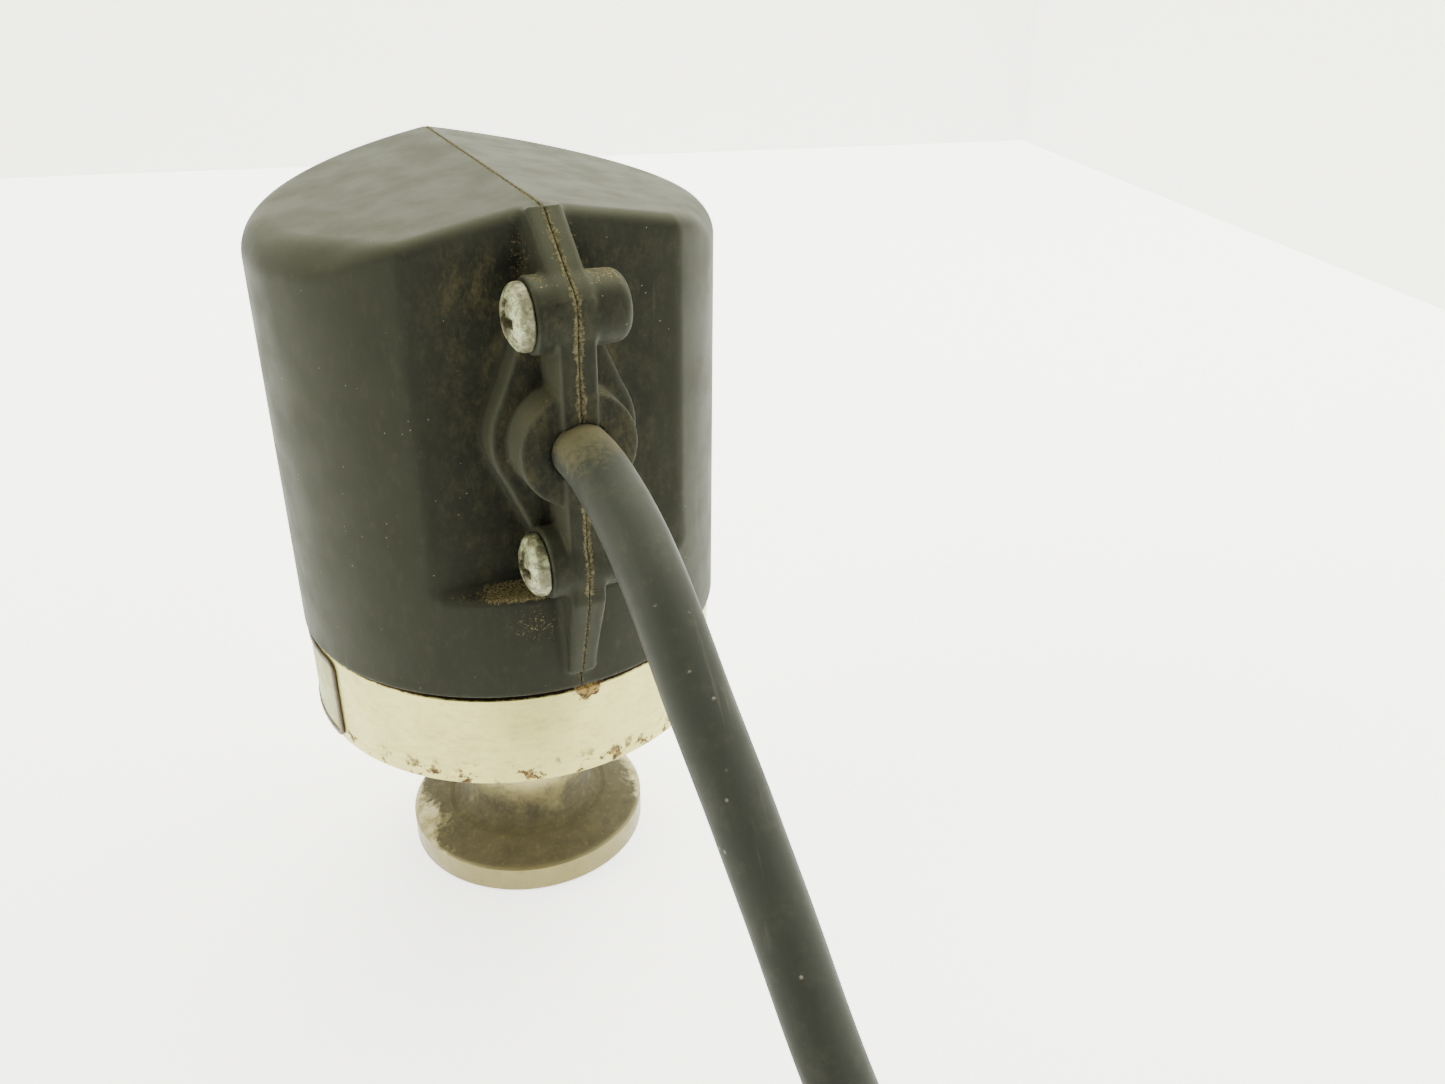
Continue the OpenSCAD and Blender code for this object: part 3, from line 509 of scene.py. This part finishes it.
# The same route as the CAD cable, from the gland's face to the start of the coil
CABLE_ROUTE = [
    (0, -37, 87), (0, -40, 87), (0, -44, 86.6), (0, -49.5, 85.2), (0, -55, 83),
    (0, -60.5, 79.8), (0.2, -65.5, 75.5), (0.6, -70, 70.7), (1.2, -74, 66), (1.9, -78, 61),
    (2.5, -82, 56), (3.1, -86, 51), (3.6, -90, 46), (4.1, -94, 41), (4.8, -98, 36), (5.8, -102, 31),
    (7.2, -106, 26), (9, -110, 21.2), (11, -114, 16.8), (13, -118, 13), (15, -122.5, 9.7),
    (16.8, -128, 7), (17.8, -133.5, 5.4), (18, -139, 4.85)]


def smooth_path(points, per_span):
    """Points along a smooth curve through the given points."""
    p = np.asarray(points, float)
    p = np.vstack([2 * p[0] - p[1], p, 2 * p[-1] - p[-2]])
    out = []
    for i in range(1, len(p) - 2):
        for t in np.arange(per_span) / per_span:
            out.append(0.5 * (2 * p[i] + (p[i + 1] - p[i - 1]) * t
                              + (2 * p[i - 1] - 5 * p[i] + 4 * p[i + 1] - p[i + 2]) * t * t
                              + (3 * p[i] - p[i - 1] - 3 * p[i + 1] + p[i + 2]) * t ** 3))
    out.append(p[-2])
    return np.array(out)


def ease(value, start, end):
    """0 at the start and 1 at the end, with a smooth step between them."""
    t = min(max((value - start) / (end - start), 0), 1)
    return t * t * (3 - 2 * t)


def on_coil(turned, r, z):
    """A point of the coil, given the angle turned from its start."""
    a = math.radians(-turned)
    return COIL_CENTRE[0] + r * math.cos(a), COIL_CENTRE[1] + r * math.sin(a), z


def coil_points(step=5):
    """The coil's turns: an outer one on the floor, one inside it, and one on top of both."""
    points = []
    for turned in range(step, COIL_END + 1, step):
        inward, outward = ease(turned, *INWARD), ease(turned, *OUTWARD)
        r = COIL_MID_R + COIL_SIDE - 2 * COIL_SIDE * inward + COIL_SIDE * outward
        hump = ease(turned, *HUMP_UP) - ease(turned, *HUMP_DOWN)
        z = COIL_LIFT + CABLE_D / 2 + COIL_RISE * ease(turned, *CLIMB) + HUMP_RISE * hump
        points.append(on_coil(turned, r, z))
    return points


def bared_cores():
    """Three cores that leave the cut end of the sheath, each with a crimped sleeve."""
    lay_z = COIL_LIFT + CABLE_D + 1.0
    cut = COIL_END - 360
    pieces = []
    for place, tint in ((-1, "core_brown"), (0, "core_green"), (1, "core_blue")):
        arc = []
        for turned in np.linspace(cut - 2, cut + 24, 14):
            drop = 1 - ease(turned, cut - 2, cut + 14)
            r = COIL_MID_R + place * (CORE_SPACING - 0.6 * drop)
            arc.append(on_coil(turned, r, lay_z + 1.3 * drop))
        verts, faces = sweep(arc, CORE_D / 2, CORE_SIDES, side=(0, 0, 1))
        core = make_object(f"core_{tint[5:]}", verts, faces, "core_insulation", material=tint)
        tip = np.array(arc[-1]) - np.array(arc[-2])
        tip /= np.linalg.norm(tip)
        end = np.array(arc[-1])
        along_sleeve = [end - tip * 0.5, end + tip * 0.1, end + tip * SLEEVE_L]
        verts, faces = sweep(along_sleeve, SLEEVE_D / 2, CORE_SIDES, side=(0, 0, 1))
        sleeve = make_object(f"core_sleeve_{tint[5:]}", verts, faces, "core_insulation", material="steel")
        pieces += [core, sleeve]
    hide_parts("cable_end_cores")
    return pieces


def make_cable():
    """The sheath from the gland through the coil, as one free cord with its cores."""
    path = np.vstack([smooth_path(CABLE_ROUTE, 4), coil_points()])
    verts, faces = sweep(path, CABLE_D / 2, CABLE_SIDES)
    cable = make_object("supply_cable", verts, faces, "cable_sheath")
    near_gland = blend_mask(verts[:, 1], GLAND_FACE - DUST_REACH, GLAND_FACE)
    upper_side = blend_mask(verts[:, 2] - 0.18 * verts[:, 1], 92, 97)
    paint(cable, {"dust": near_gland * upper_side * 0.85})
    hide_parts("cable", "cable_coil")
    bared_cores()


make_cable()


# ------------------------------------------------------------------ rounded solids

def round_max(a, b, r):
    """Overlap of two distance fields, with the edge rounded to a radius."""
    return np.minimum(np.maximum(a, b), -r) + np.hypot(np.maximum(a + r, 0), np.maximum(b + r, 0))


def round_min(a, b, r):
    """Union of two distance fields, with a fillet where they meet."""
    return -round_max(-a, -b, r)


def box_field(value, low, high):
    """Distance to the slab between two values."""
    return np.maximum(low - value, value - high)


def polygon_field(u, v, corners):
    """Signed distance to a polygon."""
    best = np.full(np.broadcast(u, v).shape, np.inf)
    inside = np.zeros(best.shape, bool)
    for (ax, ay), (bx, by) in zip(corners, corners[1:] + corners[:1]):
        ex, ey = bx - ax, by - ay
        t = np.clip(((u - ax) * ex + (v - ay) * ey) / (ex * ex + ey * ey), 0, 1)
        best = np.minimum(best, np.hypot(u - ax - t * ex, v - ay - t * ey))
        with np.errstate(divide="ignore", invalid="ignore"):
            crosses = ((ay > v) != (by > v)) & (u < ex * (v - ay) / (ey if ey else 1e-9) + ax)
        inside ^= crosses
    return np.where(inside, -best, best)


def tapered_capsule(u, v, length, r1, r2):
    """Signed distance to the hull of a circle at the origin and one up the V axis."""
    u = np.abs(u)
    b = (r1 - r2) / length
    a = math.sqrt(1 - b * b)
    along = -b * u + a * v
    field = np.where(along > a * length, np.hypot(u, v - length) - r2, a * u + b * v - r1)
    return np.where(along < 0, np.hypot(u, v) - r1, field)


def gradient(field, p, reach=0.02):
    """Unit normals of a distance field at points."""
    steps = [field(*(p + np.array(d) * reach).T) - field(*(p - np.array(d) * reach).T)
             for d in ((1, 0, 0), (0, 1, 0), (0, 0, 1))]
    g = np.stack(steps, axis=1) / (2 * reach)
    return g / np.maximum(np.linalg.norm(g, axis=1), 1e-6)[:, None]


def even_axes(low, high, step):
    """Evenly spaced grid lines along each axis."""
    return [np.arange(a, b + step, step) for a, b in zip(low, high)]


def surface_net(field, axes):
    """Quads on the zero surface of a distance field over a grid, with their points moved onto it."""
    counts = [len(axis) for axis in axes]
    step = float(np.max(np.diff(axes[2])))
    values = field(axes[0][:, None, None], axes[1][None, :, None], axes[2][None, None, :])
    values = np.broadcast_to(values, counts)
    inside = values < 0
    cells = [count - 1 for count in counts]
    ids, spots, rings, flips = [], [], [], []
    for axis in range(3):
        u, v = [i for i in range(3) if i != axis]
        near = [slice(None)] * 3
        far = [slice(None)] * 3
        near[axis], far[axis] = slice(None, -1), slice(1, None)
        edges = np.argwhere(inside[tuple(near)] != inside[tuple(far)])
        start = values[tuple(near)][tuple(edges.T)]
        end = values[tuple(far)][tuple(edges.T)]
        spot = edges.astype(float)
        spot[:, axis] += start / (start - end)
        ring = []
        for du, dv in ((0, 0), (1, 0), (1, 1), (0, 1)):
            cell = edges.copy()
            cell[:, u] -= du
            cell[:, v] -= dv
            ring.append(np.ravel_multi_index(tuple(cell.T), cells))
            ids.append(ring[-1])
            spots.append(spot)
        rings.append(np.stack(ring, axis=1))
        flips.append((start < 0) ^ (axis == 1))
    ids = np.concatenate(ids)
    spots = np.concatenate(spots)
    used, slot = np.unique(ids, return_inverse=True)
    total = np.bincount(slot)
    points = np.stack([np.interp(np.bincount(slot, spots[:, i]) / total, np.arange(counts[i]), axes[i])
                       for i in range(3)], axis=1)
    quads = np.searchsorted(used, np.concatenate(rings))
    flips = np.concatenate(flips)
    quads[~flips] = quads[~flips][:, ::-1]
    for _ in range(3):
        normal = gradient(field, points)
        points -= normal * np.clip(field(*points.T), -step / 3, step / 3)[:, None]
    return points, quads


# ------------------------------------------------------------------ cover

# The front is towards -Y: FRONT_Y, FIN_Y and BOSS_Y are distances in front of the axis
COVER_R = 32.5
COVER_Z = 48.3
WALL = 2.5
RIDGE_Z = 115.5
ROOF_SLOPE = 0.18
FRONT_Y = 26.9
LEDGE_Z = 64.2
FIN_T = 2.4
FIN_FOOT = 0.8
FIN_FOOT_Z = (52, 66)
FIN_Y = 37.7
BOSS_Y = 33.5
BOSS_Z = (104.1, 70.2)
BOSS_R = 4.8
BOSS_X = (-4.9, 7.6)
GLAND_PLATE_Y = -31.3
GLAND_PLATE_R = 9.8
GLAND_DISC_R = 7.8
ARM_TIP_R = 3.4
GROMMET_R = 6
SCREW_HOLE_R = 2.6
INSERT_R = 3.4
INSERT_END = 6.2
BEAD_Z = 50.3
BEAD_HALF_H = 0.8
BEAD_INNER_R = 28.35
LAP_Z = (70, 96)
LAP_INNER_Y = 27.9
LAP_DEPTH = 5
# How far past the split the tongue and its root reach, and how thick they are
TONGUE = (4, 1.3)
TONGUE_ROOT = (0, 2.5)
ROOF_ROUND = 4.5
ROOF_FRONT_ROUND = 2.0
ROOF_FADE_Y = (18, 26)
FRONT_ROUND = 0.45
LIP_ROUND = 0.9
LIP_FADE_Z = (65, 72)
POCKET_ROUND = 1.8
BOSS_ROUND = 1.7
BOSS_DRAFT = 0.04
SPLIT_GAP = 0.03
FIN_OUTLINE = [(-FRONT_Y + 1.5, RIDGE_Z - 1), (-FRONT_Y - 0.6, RIDGE_Z), (-FIN_Y - 0.3, 106.5),
               (-FIN_Y, 65), (-COVER_R - 1, 51.5), (-COVER_R + 1.5, 51.5), (-FRONT_Y + 1.5, LEDGE_Z)]


def roofed_body(x, y, z):
    """Round body under the gabled roof, less the space in front of the flat front above its ledge."""
    radial = np.hypot(x, y) - COVER_R
    roof = (z - RIDGE_Z + ROOF_SLOPE * np.abs(x)) / math.hypot(1, ROOF_SLOPE)
    pocket = round_max(y + FRONT_Y, LEDGE_Z - z, POCKET_ROUND)
    edge = LIP_ROUND + (FRONT_ROUND - LIP_ROUND) * blend_mask(z, *LIP_FADE_Z)
    roof_edge = ROOF_ROUND + (ROOF_FRONT_ROUND - ROOF_ROUND) * blend_mask(-y, *ROOF_FADE_Y)
    return round_max(round_max(radial, -pocket, edge), roof, roof_edge)


def cover_field(x, y, z):
    """Distance to the closed cover, both halves as one."""
    body = roofed_body(x, y, z)
    fin_t = FIN_T * (FIN_FOOT + (1 - FIN_FOOT) * blend_mask(z, *FIN_FOOT_Z))
    fin = round_max(polygon_field(y, z, FIN_OUTLINE), np.abs(x) - fin_t, 0.5)
    parts = fin
    for boss_z in BOSS_Z:
        around = np.hypot(y + BOSS_Y, z - boss_z)
        boss = round_max(around - BOSS_R + BOSS_DRAFT * np.maximum(x, 0), x - BOSS_X[1], BOSS_ROUND)
        parts = round_min(parts, round_max(boss, BOSS_X[0] - x, 0.4), 0.6)
        reach = boss_z - GLAND_Z
        arm = tapered_capsule(x, (z - GLAND_Z) * np.sign(reach), abs(reach), GLAND_PLATE_R, ARM_TIP_R)
        arm = np.maximum(round_max(arm, GLAND_PLATE_Y - y, 0.7), y + FRONT_Y - 1)
        parts = round_min(parts, arm, 0.5)
    from_gland = np.hypot(x, z - GLAND_Z)
    disc = np.maximum(round_max(from_gland - GLAND_DISC_R, GLAND_FACE - y, 0.5), y + FRONT_Y - 1)
    parts = round_min(parts, disc, 0.5)
    shell = round_max(round_min(body, parts, 1.0), COVER_Z + 0.05 - z, 0.4)
    shell = round_max(shell, -(body + WALL), 0.3)
    bead = np.maximum(np.abs(z - BEAD_Z) - BEAD_HALF_H, box_field(np.hypot(x, y), BEAD_INNER_R, COVER_R - 1))
    shell = np.minimum(shell, bead)
    hole = np.maximum(from_gland - CABLE_D / 2 - 0.05, y + FRONT_Y - WALL)
    grommet_room = np.maximum(from_gland - GROMMET_R, box_field(y, GLAND_FACE + 2.5, -FRONT_Y + WALL + 1))
    shell = round_max(shell, -hole, 0.2)
    shell = np.maximum(shell, -grommet_room)
    for boss_z in BOSS_Z:
        around = np.hypot(y + BOSS_Y, z - boss_z)
        shell = np.maximum(shell, -np.maximum(around - SCREW_HOLE_R, x - 1))
        shell = np.maximum(shell, -np.maximum(around - INSERT_R, box_field(x, 0, INSERT_END)))
    return shell


def lap_block(x, y, z, x_end, thickness):
    """A block of the left half's tongue, inside the back wall."""
    flat = np.maximum(box_field(x, -LAP_DEPTH, x_end), box_field(y, LAP_INNER_Y, LAP_INNER_Y + thickness))
    return np.maximum(box_field(z, *LAP_Z), flat)


def cover_half(side):
    """Distance field of one half: side -1 is the left, with its tongue, and 1 the right."""
    def field(x, y, z):
        half = round_max(cover_field(x, y, z), SPLIT_GAP - side * x, 0.22)
        if side > 0:
            return half
        lap = np.minimum(lap_block(x, y, z, *TONGUE), lap_block(x, y, z, *TONGUE_ROOT))
        return np.minimum(half, lap)
    return field


def cover_masks(points, field):
    """Where the split line's dirt, the corners' dirt, loose sand and a grey film lie on the outside; the film
    is partly dust and partly painted light, lighter on the sides where the lamps fall.
    """
    x, y, z = points.T
    normal = gradient(field, points, 0.3)
    reach = 3.0
    closed_in = np.clip(1 - cover_field(*(points + normal * reach).T) / reach, 0, 1)
    outside = roofed_body(x, y, z) > -0.6
    on_fin = y < -FRONT_Y - 1

    # A line of uneven width along the split
    wobble = np.sin(0.9 * z + 1.7 * np.sin(0.37 * y)) + np.sin(2.3 * y + 0.8 * z + 1.1) + np.sin(1.9 * z)
    width = np.where(on_fin & (z > 66), 0.95, 0.6) * (0.85 + 0.11 * wobble)
    seam = blend_mask(np.abs(x) / np.maximum(width, 0.2), 1.3, 0.1) * np.where(on_fin & (z < 66), 0.7, 1)

    # Dirt on the flat front, most at its top left and by the bosses, and in every corner
    in_pocket = blend_mask(-y, FRONT_Y - 1.5, FRONT_Y - 0.3) * blend_mask(np.abs(x), 20, 12)
    in_pocket *= blend_mask(z, LEDGE_Z, LEDGE_Z + 2) * blend_mask(z, 114, 108)
    facing = blend_mask(-normal[:, 1], 0.5, 0.9)
    left_top = np.exp(-((x + 6) / 6) ** 2 - ((z - 106) / 8) ** 2)
    by_boss = sum(np.exp(-((x + 2) / 9) ** 2 - ((z - b) / 8) ** 2) for b in BOSS_Z)
    corner = blend_mask(closed_in, 0.3, 0.9)
    forward = np.where(y < GLAND_PLATE_Y - 0.3, 0.35, 1)
    dirt = in_pocket * facing * forward * (0.26 + 0.75 * left_top + 0.35 * by_boss) + 0.6 * corner * forward
    disc_top = on_fin * (np.hypot(x, z - GLAND_Z) < GLAND_PLATE_R + 0.5) * blend_mask(normal[:, 2], 0.1, 0.9)
    disc_face = on_fin * (np.hypot(x, z - GLAND_Z) < GLAND_DISC_R) * facing * 0.55
    dirt = np.maximum(dirt, np.maximum(0.7 * disc_top, disc_face))

    # Sand on the ledge, just below it, on the bosses and under the roof
    ledge = blend_mask(normal[:, 2], 0.35, 0.85) * (np.abs(z - LEDGE_Z - 0.5) < 2.2) * (y < -24)
    ledge *= np.where(x < 0, 0.25 + 0.9 * np.exp(-((x + 7.5) / 4.5) ** 4), 0.45)
    below = (y < -25) * np.exp(-((x + 6) / 4) ** 2 - ((z - 60) / 3.2) ** 2) * 0.36
    boss_top = on_fin * blend_mask(normal[:, 2], 0.6, 1.0) * np.where(x > FIN_T, 0.46, 0.36) * (z > 90)
    under_roof = 0.4 * (y < -FRONT_Y + 0.6) * (y > -FRONT_Y - 3)
    under_roof = under_roof * np.exp(-((np.abs(x) - 3.4) / 1.4) ** 2 - ((z - 109) / 4.5) ** 2)
    sand = np.maximum(np.maximum(ledge, under_roof), np.maximum(below, boss_top))

    # Film on what faces up and along the fin's edge, less on the flat front; round both sides and off the
    # flat front it is painted light, lighter on the right where the lamp falls
    film = 0.47 * blend_mask(normal[:, 2], 0.25, 0.97) + 0.17
    film += 0.22 * on_fin * np.exp(-(x / 1.3) ** 2)
    # Painted light: both sides, the right one more, and the turn off the flat front are made lighter where
    # the side lamps fall
    off_flat = blend_mask(-normal[:, 1], 0.97, 0.88)
    film += 0.26 * blend_mask(x, 20, 32) + 0.10 * blend_mask(-x, 20, 30)
    film += off_flat * np.where(x > 0, 0.12, 0.05)
    film *= 1 - 0.75 * in_pocket * facing
    # Partly dust and partly a painted highlight: the gland plate's left-facing walls are made lighter as if
    # catching the light
    film += 0.32 * on_fin * blend_mask(-normal[:, 0], 0.2, 0.8) * (np.hypot(x, 0.62 * (z - GLAND_Z)) < 11)
    masks = {"seam": seam, "dirt": dirt, "sand": sand, "film": film}
    return {name: np.clip(values, 0, 1) * outside for name, values in masks.items()}


def make_cover():
    """Both halves, on grids whose lines are closest together by the split."""
    step = 0.42
    fine = step / 4
    ramp_up = SPLIT_GAP + np.cumsum(np.geomspace(fine, step, 7)) - 2.5 * fine
    ramp_up = np.concatenate([[SPLIT_GAP - 3.5 * fine, SPLIT_GAP - 2.5 * fine], ramp_up])
    across = np.concatenate([ramp_up, np.arange(ramp_up[-1] + step, COVER_R + 1.5, step)])
    # The left half's grid goes past the split far enough to hold its tongue
    behind = -np.arange(1, 16) * step / 1.2 + across[0]
    low, high = (0, -FIN_Y - 1.5, COVER_Z - 1), (0, COVER_R + 1, RIDGE_Z + 1)
    _, along, up = even_axes(low, high, step)
    for side, node in ((-1, "cover_left"), (1, "cover_right")):
        field = cover_half(side)
        line = across
        if side < 0:
            line = -np.concatenate([behind[behind > -4.8][::-1], across])[::-1]
        points, quads = surface_net(field, (line, along, up))
        half = make_object(node + "_moulding", points, quads, "black_cover")
        paint(half, cover_masks(points, field))
        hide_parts(node)


make_cover()


# ------------------------------------------------------------------ cover screws

HEAD_R = 4.25
HEAD_T = 2.9
DOME_R = 6.25
SHANK_R = 2.5
SHANK_END = 10.6
BLADE_HALF_T = 0.62
BLADE_REACH = 2.5


def screw_field(x, y, z):
    """Domed screw head with a cross recess, head towards -X and seat at x = 0."""
    radial = np.hypot(y, z)
    dome = np.hypot(radial, x - 3.2) - DOME_R
    head = round_max(round_max(radial - HEAD_R, -x - HEAD_T, 0.5), np.maximum(dome, x), 0.4)
    blade = np.minimum(np.maximum(np.abs(y) - BLADE_HALF_T, np.abs(z) - BLADE_REACH),
                       np.maximum(np.abs(z) - BLADE_HALF_T, np.abs(y) - BLADE_REACH))
    recess = np.maximum(round_min(blade, radial - 1.1, 0.3), x + 1.2 + 0.25 * radial)
    head = round_max(head, -recess, 0.15)
    shank = np.maximum(radial - SHANK_R, box_field(x, -0.5, SHANK_END))
    return np.minimum(head, shank)


def make_screws():
    """The two screws that close the cover."""
    step = 0.17
    points, quads = surface_net(screw_field, even_axes((-3.6, -4.9, -4.9), (11.2, 4.9, 4.9), step))
    recess_dirt = blend_mask(np.hypot(points[:, 1], points[:, 2]), 3.2, 1.6) * (points[:, 0] < -1)
    # Painted shade with some dirt: a darker band by the seat and round the head's rim
    rim_and_seat_dirt_and_shade = np.maximum(blend_mask(points[:, 0], -0.9, -0.1),
                            0.7 * blend_mask(np.hypot(points[:, 1], points[:, 2]), 3.5, 4.2))
    for name, boss_z in zip(("upper", "lower"), BOSS_Z):
        place = np.array((BOSS_X[0], -BOSS_Y, boss_z))
        screw = make_object(f"cover_screw_{name}", points + place, quads, "zinc_screw")
        paint(screw, {"dirt": np.maximum(recess_dirt, rim_and_seat_dirt_and_shade)})
        if name == "upper":
            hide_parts("cover_screws")


make_screws()


# ------------------------------------------------------------------ nameplate

RING_R = 31.8
PLATE_Z = (33.2, 46.9)
PLATE_ANGLES = (130, 197)
PLATE_CORNER_R = 1.6
PLATE_LIFT = 0.02
FOIL_T = 0.28
BORDER_W = 0.9
BORDER_T = 0.5
HALF_ARC = math.radians(PLATE_ANGLES[1] - PLATE_ANGLES[0]) * RING_R / 2
HALF_HEIGHT = (PLATE_Z[1] - PLATE_Z[0]) / 2


def wrapped(points):
    """Bends flat plate points round the ring: along it and up it from its middle, and out from it."""
    along, up, out = points.T
    angle = math.radians(PLATE_ANGLES[0]) + (along + HALF_ARC) / RING_R
    r = RING_R + out
    return np.stack([r * np.cos(angle), r * np.sin(angle), up + sum(PLATE_Z) / 2], axis=-1)


def rim_distance(along, up):
    """Signed distance to the plate's outline, a rectangle with round corners."""
    across_x = np.abs(along) - HALF_ARC + PLATE_CORNER_R
    across_z = np.abs(up) - HALF_HEIGHT + PLATE_CORNER_R
    beyond = np.hypot(np.maximum(across_x, 0), np.maximum(across_z, 0))
    return beyond + np.minimum(np.maximum(across_x, across_z), 0) - PLATE_CORNER_R


def foil_field(along, up, out):
    return round_max(rim_distance(along, up) + 0.2, box_field(out, PLATE_LIFT, FOIL_T), 0.05)


def border_field(along, up, out):
    band = np.abs(rim_distance(along, up) + BORDER_W / 2) - BORDER_W / 2
    return round_max(band, box_field(out, PLATE_LIFT, BORDER_T), 0.22)


def make_nameplate():
    """Foil wrapped round the ring, with a raised rounded border and no print."""
    reach = (HALF_ARC + 1, HALF_HEIGHT + 1)
    along, up = even_axes((-reach[0], -reach[1]), reach, 0.3)
    out = np.arange(-0.105, 0.75, 0.065)
    for name, field, material in (("nameplate_foil", foil_field, "nameplate"),
                                  ("nameplate_border", border_field, "plate_border")):
        points, quads = surface_net(field, (along, up, out))
        obj = make_object(name, wrapped(points), quads, "nameplate", material=material)
        if material == "nameplate":
            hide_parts("nameplate")


make_nameplate()


# ------------------------------------------------------------------ studio

CORNER = np.array((481, 474))
ALONG_BACK = np.array((-0.975, 0.221))
ALONG_RIGHT = np.array((-0.178, -0.984))
FLOOR_SIDE = 1800
WALL_HEIGHT = 900
LAMP_COLOR = (1, 1, 0.76)
LAMP_TARGET = (0, -20, 60)
# Name, place, size and power in watts
LAMPS = [
    ("top", (60, 260, 780), 600, 9),
    ("left", (-650, 120, 420), 450, 7),
    ("right", (380, 60, 420), 300, 3)]


def glow(shader, strength):
    """Makes a studio material give off light of its own."""
    shader.bsdf.inputs["Emission Color"].default_value = (1, 1, 0.985, 1)
    shader.bsdf.inputs["Emission Strength"].default_value = strength
    return shader.material


def make_sheet(name, corners, material):
    """A flat four-sided piece of the studio."""
    mesh = bpy.data.meshes.new(name)
    mesh.from_pydata([tuple(np.array(c) * MM) for c in corners], [], [tuple(range(len(corners)))])
    mesh.materials.append(material)
    obj = bpy.data.objects.new(name, mesh)
    bpy.context.scene.collection.objects.link(obj)


def make_studio():
    """White floor and two white walls that meet behind the object, with large soft lights above."""
    world = bpy.data.worlds.new("studio")
    bpy.context.scene.world = world
    world.use_nodes = True
    world.node_tree.nodes["Background"].inputs["Color"].default_value = (1.0, 1.0, 0.90, 1)
    world.node_tree.nodes["Background"].inputs["Strength"].default_value = 0.30
    floor = glow(Shader("floor", (0.88, 0.88, 0.87), 0.7), 2.3)
    wall = glow(Shader("wall", (0.80, 0.80, 0.77), 0.7), 1.05)
    left = CORNER + FLOOR_SIDE * ALONG_BACK
    right = CORNER + FLOOR_SIDE * ALONG_RIGHT
    near = left + FLOOR_SIDE * ALONG_RIGHT
    make_sheet("studio_floor", [(*CORNER, 0), (*left, 0), (*near, 0), (*right, 0)], floor)
    for name, end in (("studio_back", left), ("studio_right", right)):
        make_sheet(name, [(*CORNER, 0), (*end, 0), (*end, WALL_HEIGHT), (*CORNER, WALL_HEIGHT)], wall)
    for name, place, size, power in LAMPS:
        light = bpy.data.lights.new(name, "AREA")
        light.size = size * MM
        light.energy = power
        light.color = LAMP_COLOR
        lamp = bpy.data.objects.new(name, light)
        lamp.location = Vector(place) * MM
        towards = Vector(LAMP_TARGET) * MM - lamp.location
        lamp.rotation_euler = towards.to_track_quat("-Z", "Y").to_euler()
        bpy.context.scene.collection.objects.link(lamp)


make_studio()
